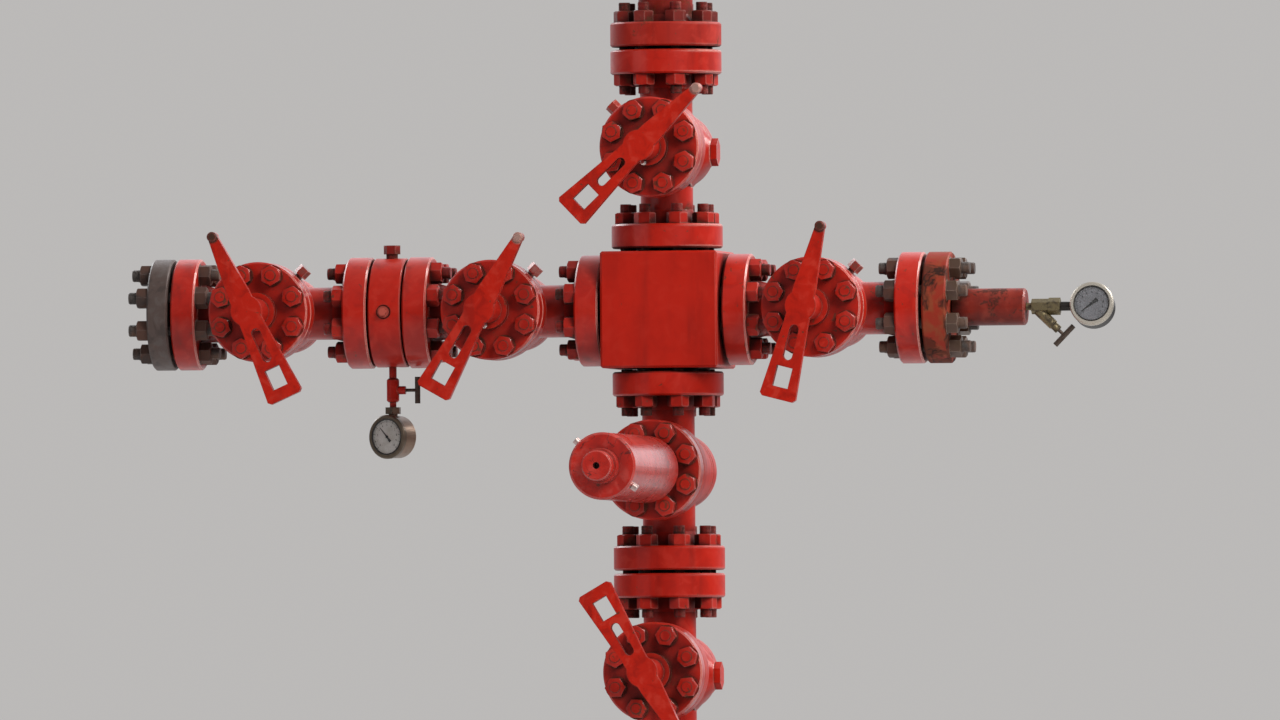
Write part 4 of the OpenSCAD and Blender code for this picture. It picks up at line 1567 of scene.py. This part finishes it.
@dataclass
class Studio:
    """The floor, the light and the camera."""

    target: Vector
    block_pixel: tuple[float, float] = (667.7, 310.2)
    frame_pixels: tuple[float, float] = (1280.0, 720.0)
    metres_per_pixel: float = 0.0024
    distance: float = 60.0
    azimuth: float = 9.1
    elevation: float = -1.0
    roll: float = -0.4
    sensor: float = 36.0
    clip: tuple[float, float] = (1.0, 500.0)
    floor_half: float = 30.0
    floor_level: float = -0.0005
    floor_colour: Colour = (0.6, 0.6, 0.6)
    floor_roughness: float = 0.85
    backdrop: Colour = (0.5, 0.488, 0.48)
    sky: tuple[tuple[float, Colour], ...] = (
        (0.0, (0.03, 0.028, 0.026)), (0.48, (0.07, 0.068, 0.066)), (0.53, (0.42, 0.43, 0.45)),
        (0.78, (0.72, 0.75, 0.8)), (1.0, (1.0, 1.0, 1.0)),
    )
    panels: tuple[tuple[str, Colour, float, float, Colour], ...] = (
        ("key", (4.8, -6.0, 6.8), 3.4, 520.0, (1.0, 0.97, 0.93)),
        ("fill", (-6.5, -6.0, 3.5), 5.0, 50.0, (0.96, 0.98, 1.0)),
        ("rim", (5.0, 2.4, 6.4), 3.2, 430.0, (1.0, 0.98, 0.96)),
        ("edge", (-4.5, 4.0, 5.5), 4.0, 210.0, (0.95, 0.98, 1.0)),
    )

    def build(self) -> None:
        """Sets up everything that isn't the object."""
        self._floor()
        self._lights()
        self._world()
        self._camera()

    def _floor(self) -> None:
        """Lays a plain pale floor."""
        form = bmesh.new()
        corners = ((-1.0, -1.0), (1.0, -1.0), (1.0, 1.0), (-1.0, 1.0))
        form.faces.new([form.verts.new((x * self.floor_half, y * self.floor_half, self.floor_level))
                        for x, y in corners])
        floor = add_object("floor", to_mesh(form, "floor"))
        plain = Surface("pale_floor")
        plain.set("Base Color", opaque(self.floor_colour))
        plain.set("Roughness", self.floor_roughness)
        floor.data.materials.append(plain.material)

    def _lights(self) -> None:
        """Hangs four soft panels: the main one high on the right, a weak one left, and two behind."""
        for name, spot, size, power, colour in self.panels:
            light = bpy.data.lights.new(name, "AREA")
            light.size = size
            light.energy = power
            light.color = colour
            thing = bpy.data.objects.new(name, light)
            bpy.context.scene.collection.objects.link(thing)
            thing.location = spot
            thing.rotation_euler = (self.target - Vector(spot)).to_track_quat("-Z", "Y").to_euler()

    def _world(self) -> None:
        """Surrounds the tree with an overcast sky: bright above, dim below, plain pale to the camera."""
        world = bpy.data.worlds.new("studio")
        world.use_nodes = True
        graph = Graph(world.node_tree)
        way = graph.node("ShaderNodeTexCoord").outputs["Generated"]
        parts = graph.node("ShaderNodeSeparateXYZ", None, {0: way})
        height, depth = (Field(graph, parts.outputs[axis]) for axis in ("Z", "Y"))
        sky = graph.node(
            "ShaderNodeValToRGB", {"stops": [(place, opaque(colour)) for place, colour in self.sky]},
            {"Fac": height * 0.5 + 0.5},
        )
        lighting = graph.node(
            "ShaderNodeBackground", None,
            {"Color": sky.outputs["Color"], "Strength": depth.step(0.3, 0.95) * 1.3 + 0.45},
        )
        seen = graph.node("ShaderNodeBackground", None, {"Color": opaque(self.backdrop), "Strength": 1.0})
        camera = graph.node("ShaderNodeLightPath").outputs["Is Camera Ray"]
        mixed = graph.node(
            "ShaderNodeMixShader", None,
            {0: camera, 1: lighting.outputs["Background"], 2: seen.outputs["Background"]},
        )
        graph.node("ShaderNodeOutputWorld", None, {"Surface": mixed.outputs["Shader"]})
        bpy.context.scene.world = world
        bpy.context.scene.view_settings.view_transform = "Standard"

    def _camera(self) -> None:
        """Stands a long lens far off, so that the block falls where the photograph has it."""
        a, e = math.radians(self.azimuth), math.radians(self.elevation)
        back = Vector((math.sin(a) * math.cos(e), -math.cos(a) * math.cos(e), math.sin(e)))
        turn = (-back).to_track_quat("-Z", "Y").to_matrix() @ Matrix.Rotation(math.radians(self.roll), 3, "Z")
        right, up = turn.col[0], turn.col[1]
        shift_x = (self.block_pixel[0] - self.frame_pixels[0] / 2.0) * self.metres_per_pixel
        shift_y = (self.frame_pixels[1] / 2.0 - self.block_pixel[1]) * self.metres_per_pixel
        aim = self.target - right * shift_x - up * shift_y
        data = bpy.data.cameras.new("camera")
        data.sensor_width = self.sensor
        data.lens = self.sensor * self.distance / (self.frame_pixels[0] * self.metres_per_pixel)
        data.clip_start, data.clip_end = self.clip
        camera = bpy.data.objects.new("camera", data)
        bpy.context.scene.collection.objects.link(camera)
        camera.matrix_world = Matrix.Translation(aim + back * self.distance) @ turn.to_4x4()
        bpy.context.scene.camera = camera


def tilted(azimuth: float, tilt: float) -> Vector:
    """The unit vector that is turned to the left of the front and leans back, both in degrees."""
    a, t = math.radians(azimuth), math.radians(tilt)
    return Vector((-math.sin(a) * math.cos(t), -math.cos(a) * math.cos(t), math.sin(t)))


def main() -> None:
    """Builds the scene in order."""
    logging.basicConfig(level=logging.INFO, format="%(name)s: %(message)s")
    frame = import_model()
    shop = Paintshop()
    Studio(centre_of("cross_block")).build()
    Dressing(shop, frame["nodes"]).build()
    fasteners = Fasteners(shop)
    Tree(fasteners).build()
    fasteners.finish()
    GreaseFittings(shop).build()
    ticks = TickTool()
    GaugeFace(shop, "left", tilted(26.0, 0.0), Finish.CASE_TAN, needle_angle=42.0).build(ticks)
    GaugeFace(shop, "right", tilted(0.0, 12.0), Finish.CASE_LIGHT, needle_angle=128.0, needle_half=0.0026,
              needle_tail=0.4).build(ticks)


if __name__ == "__main__":
    main()
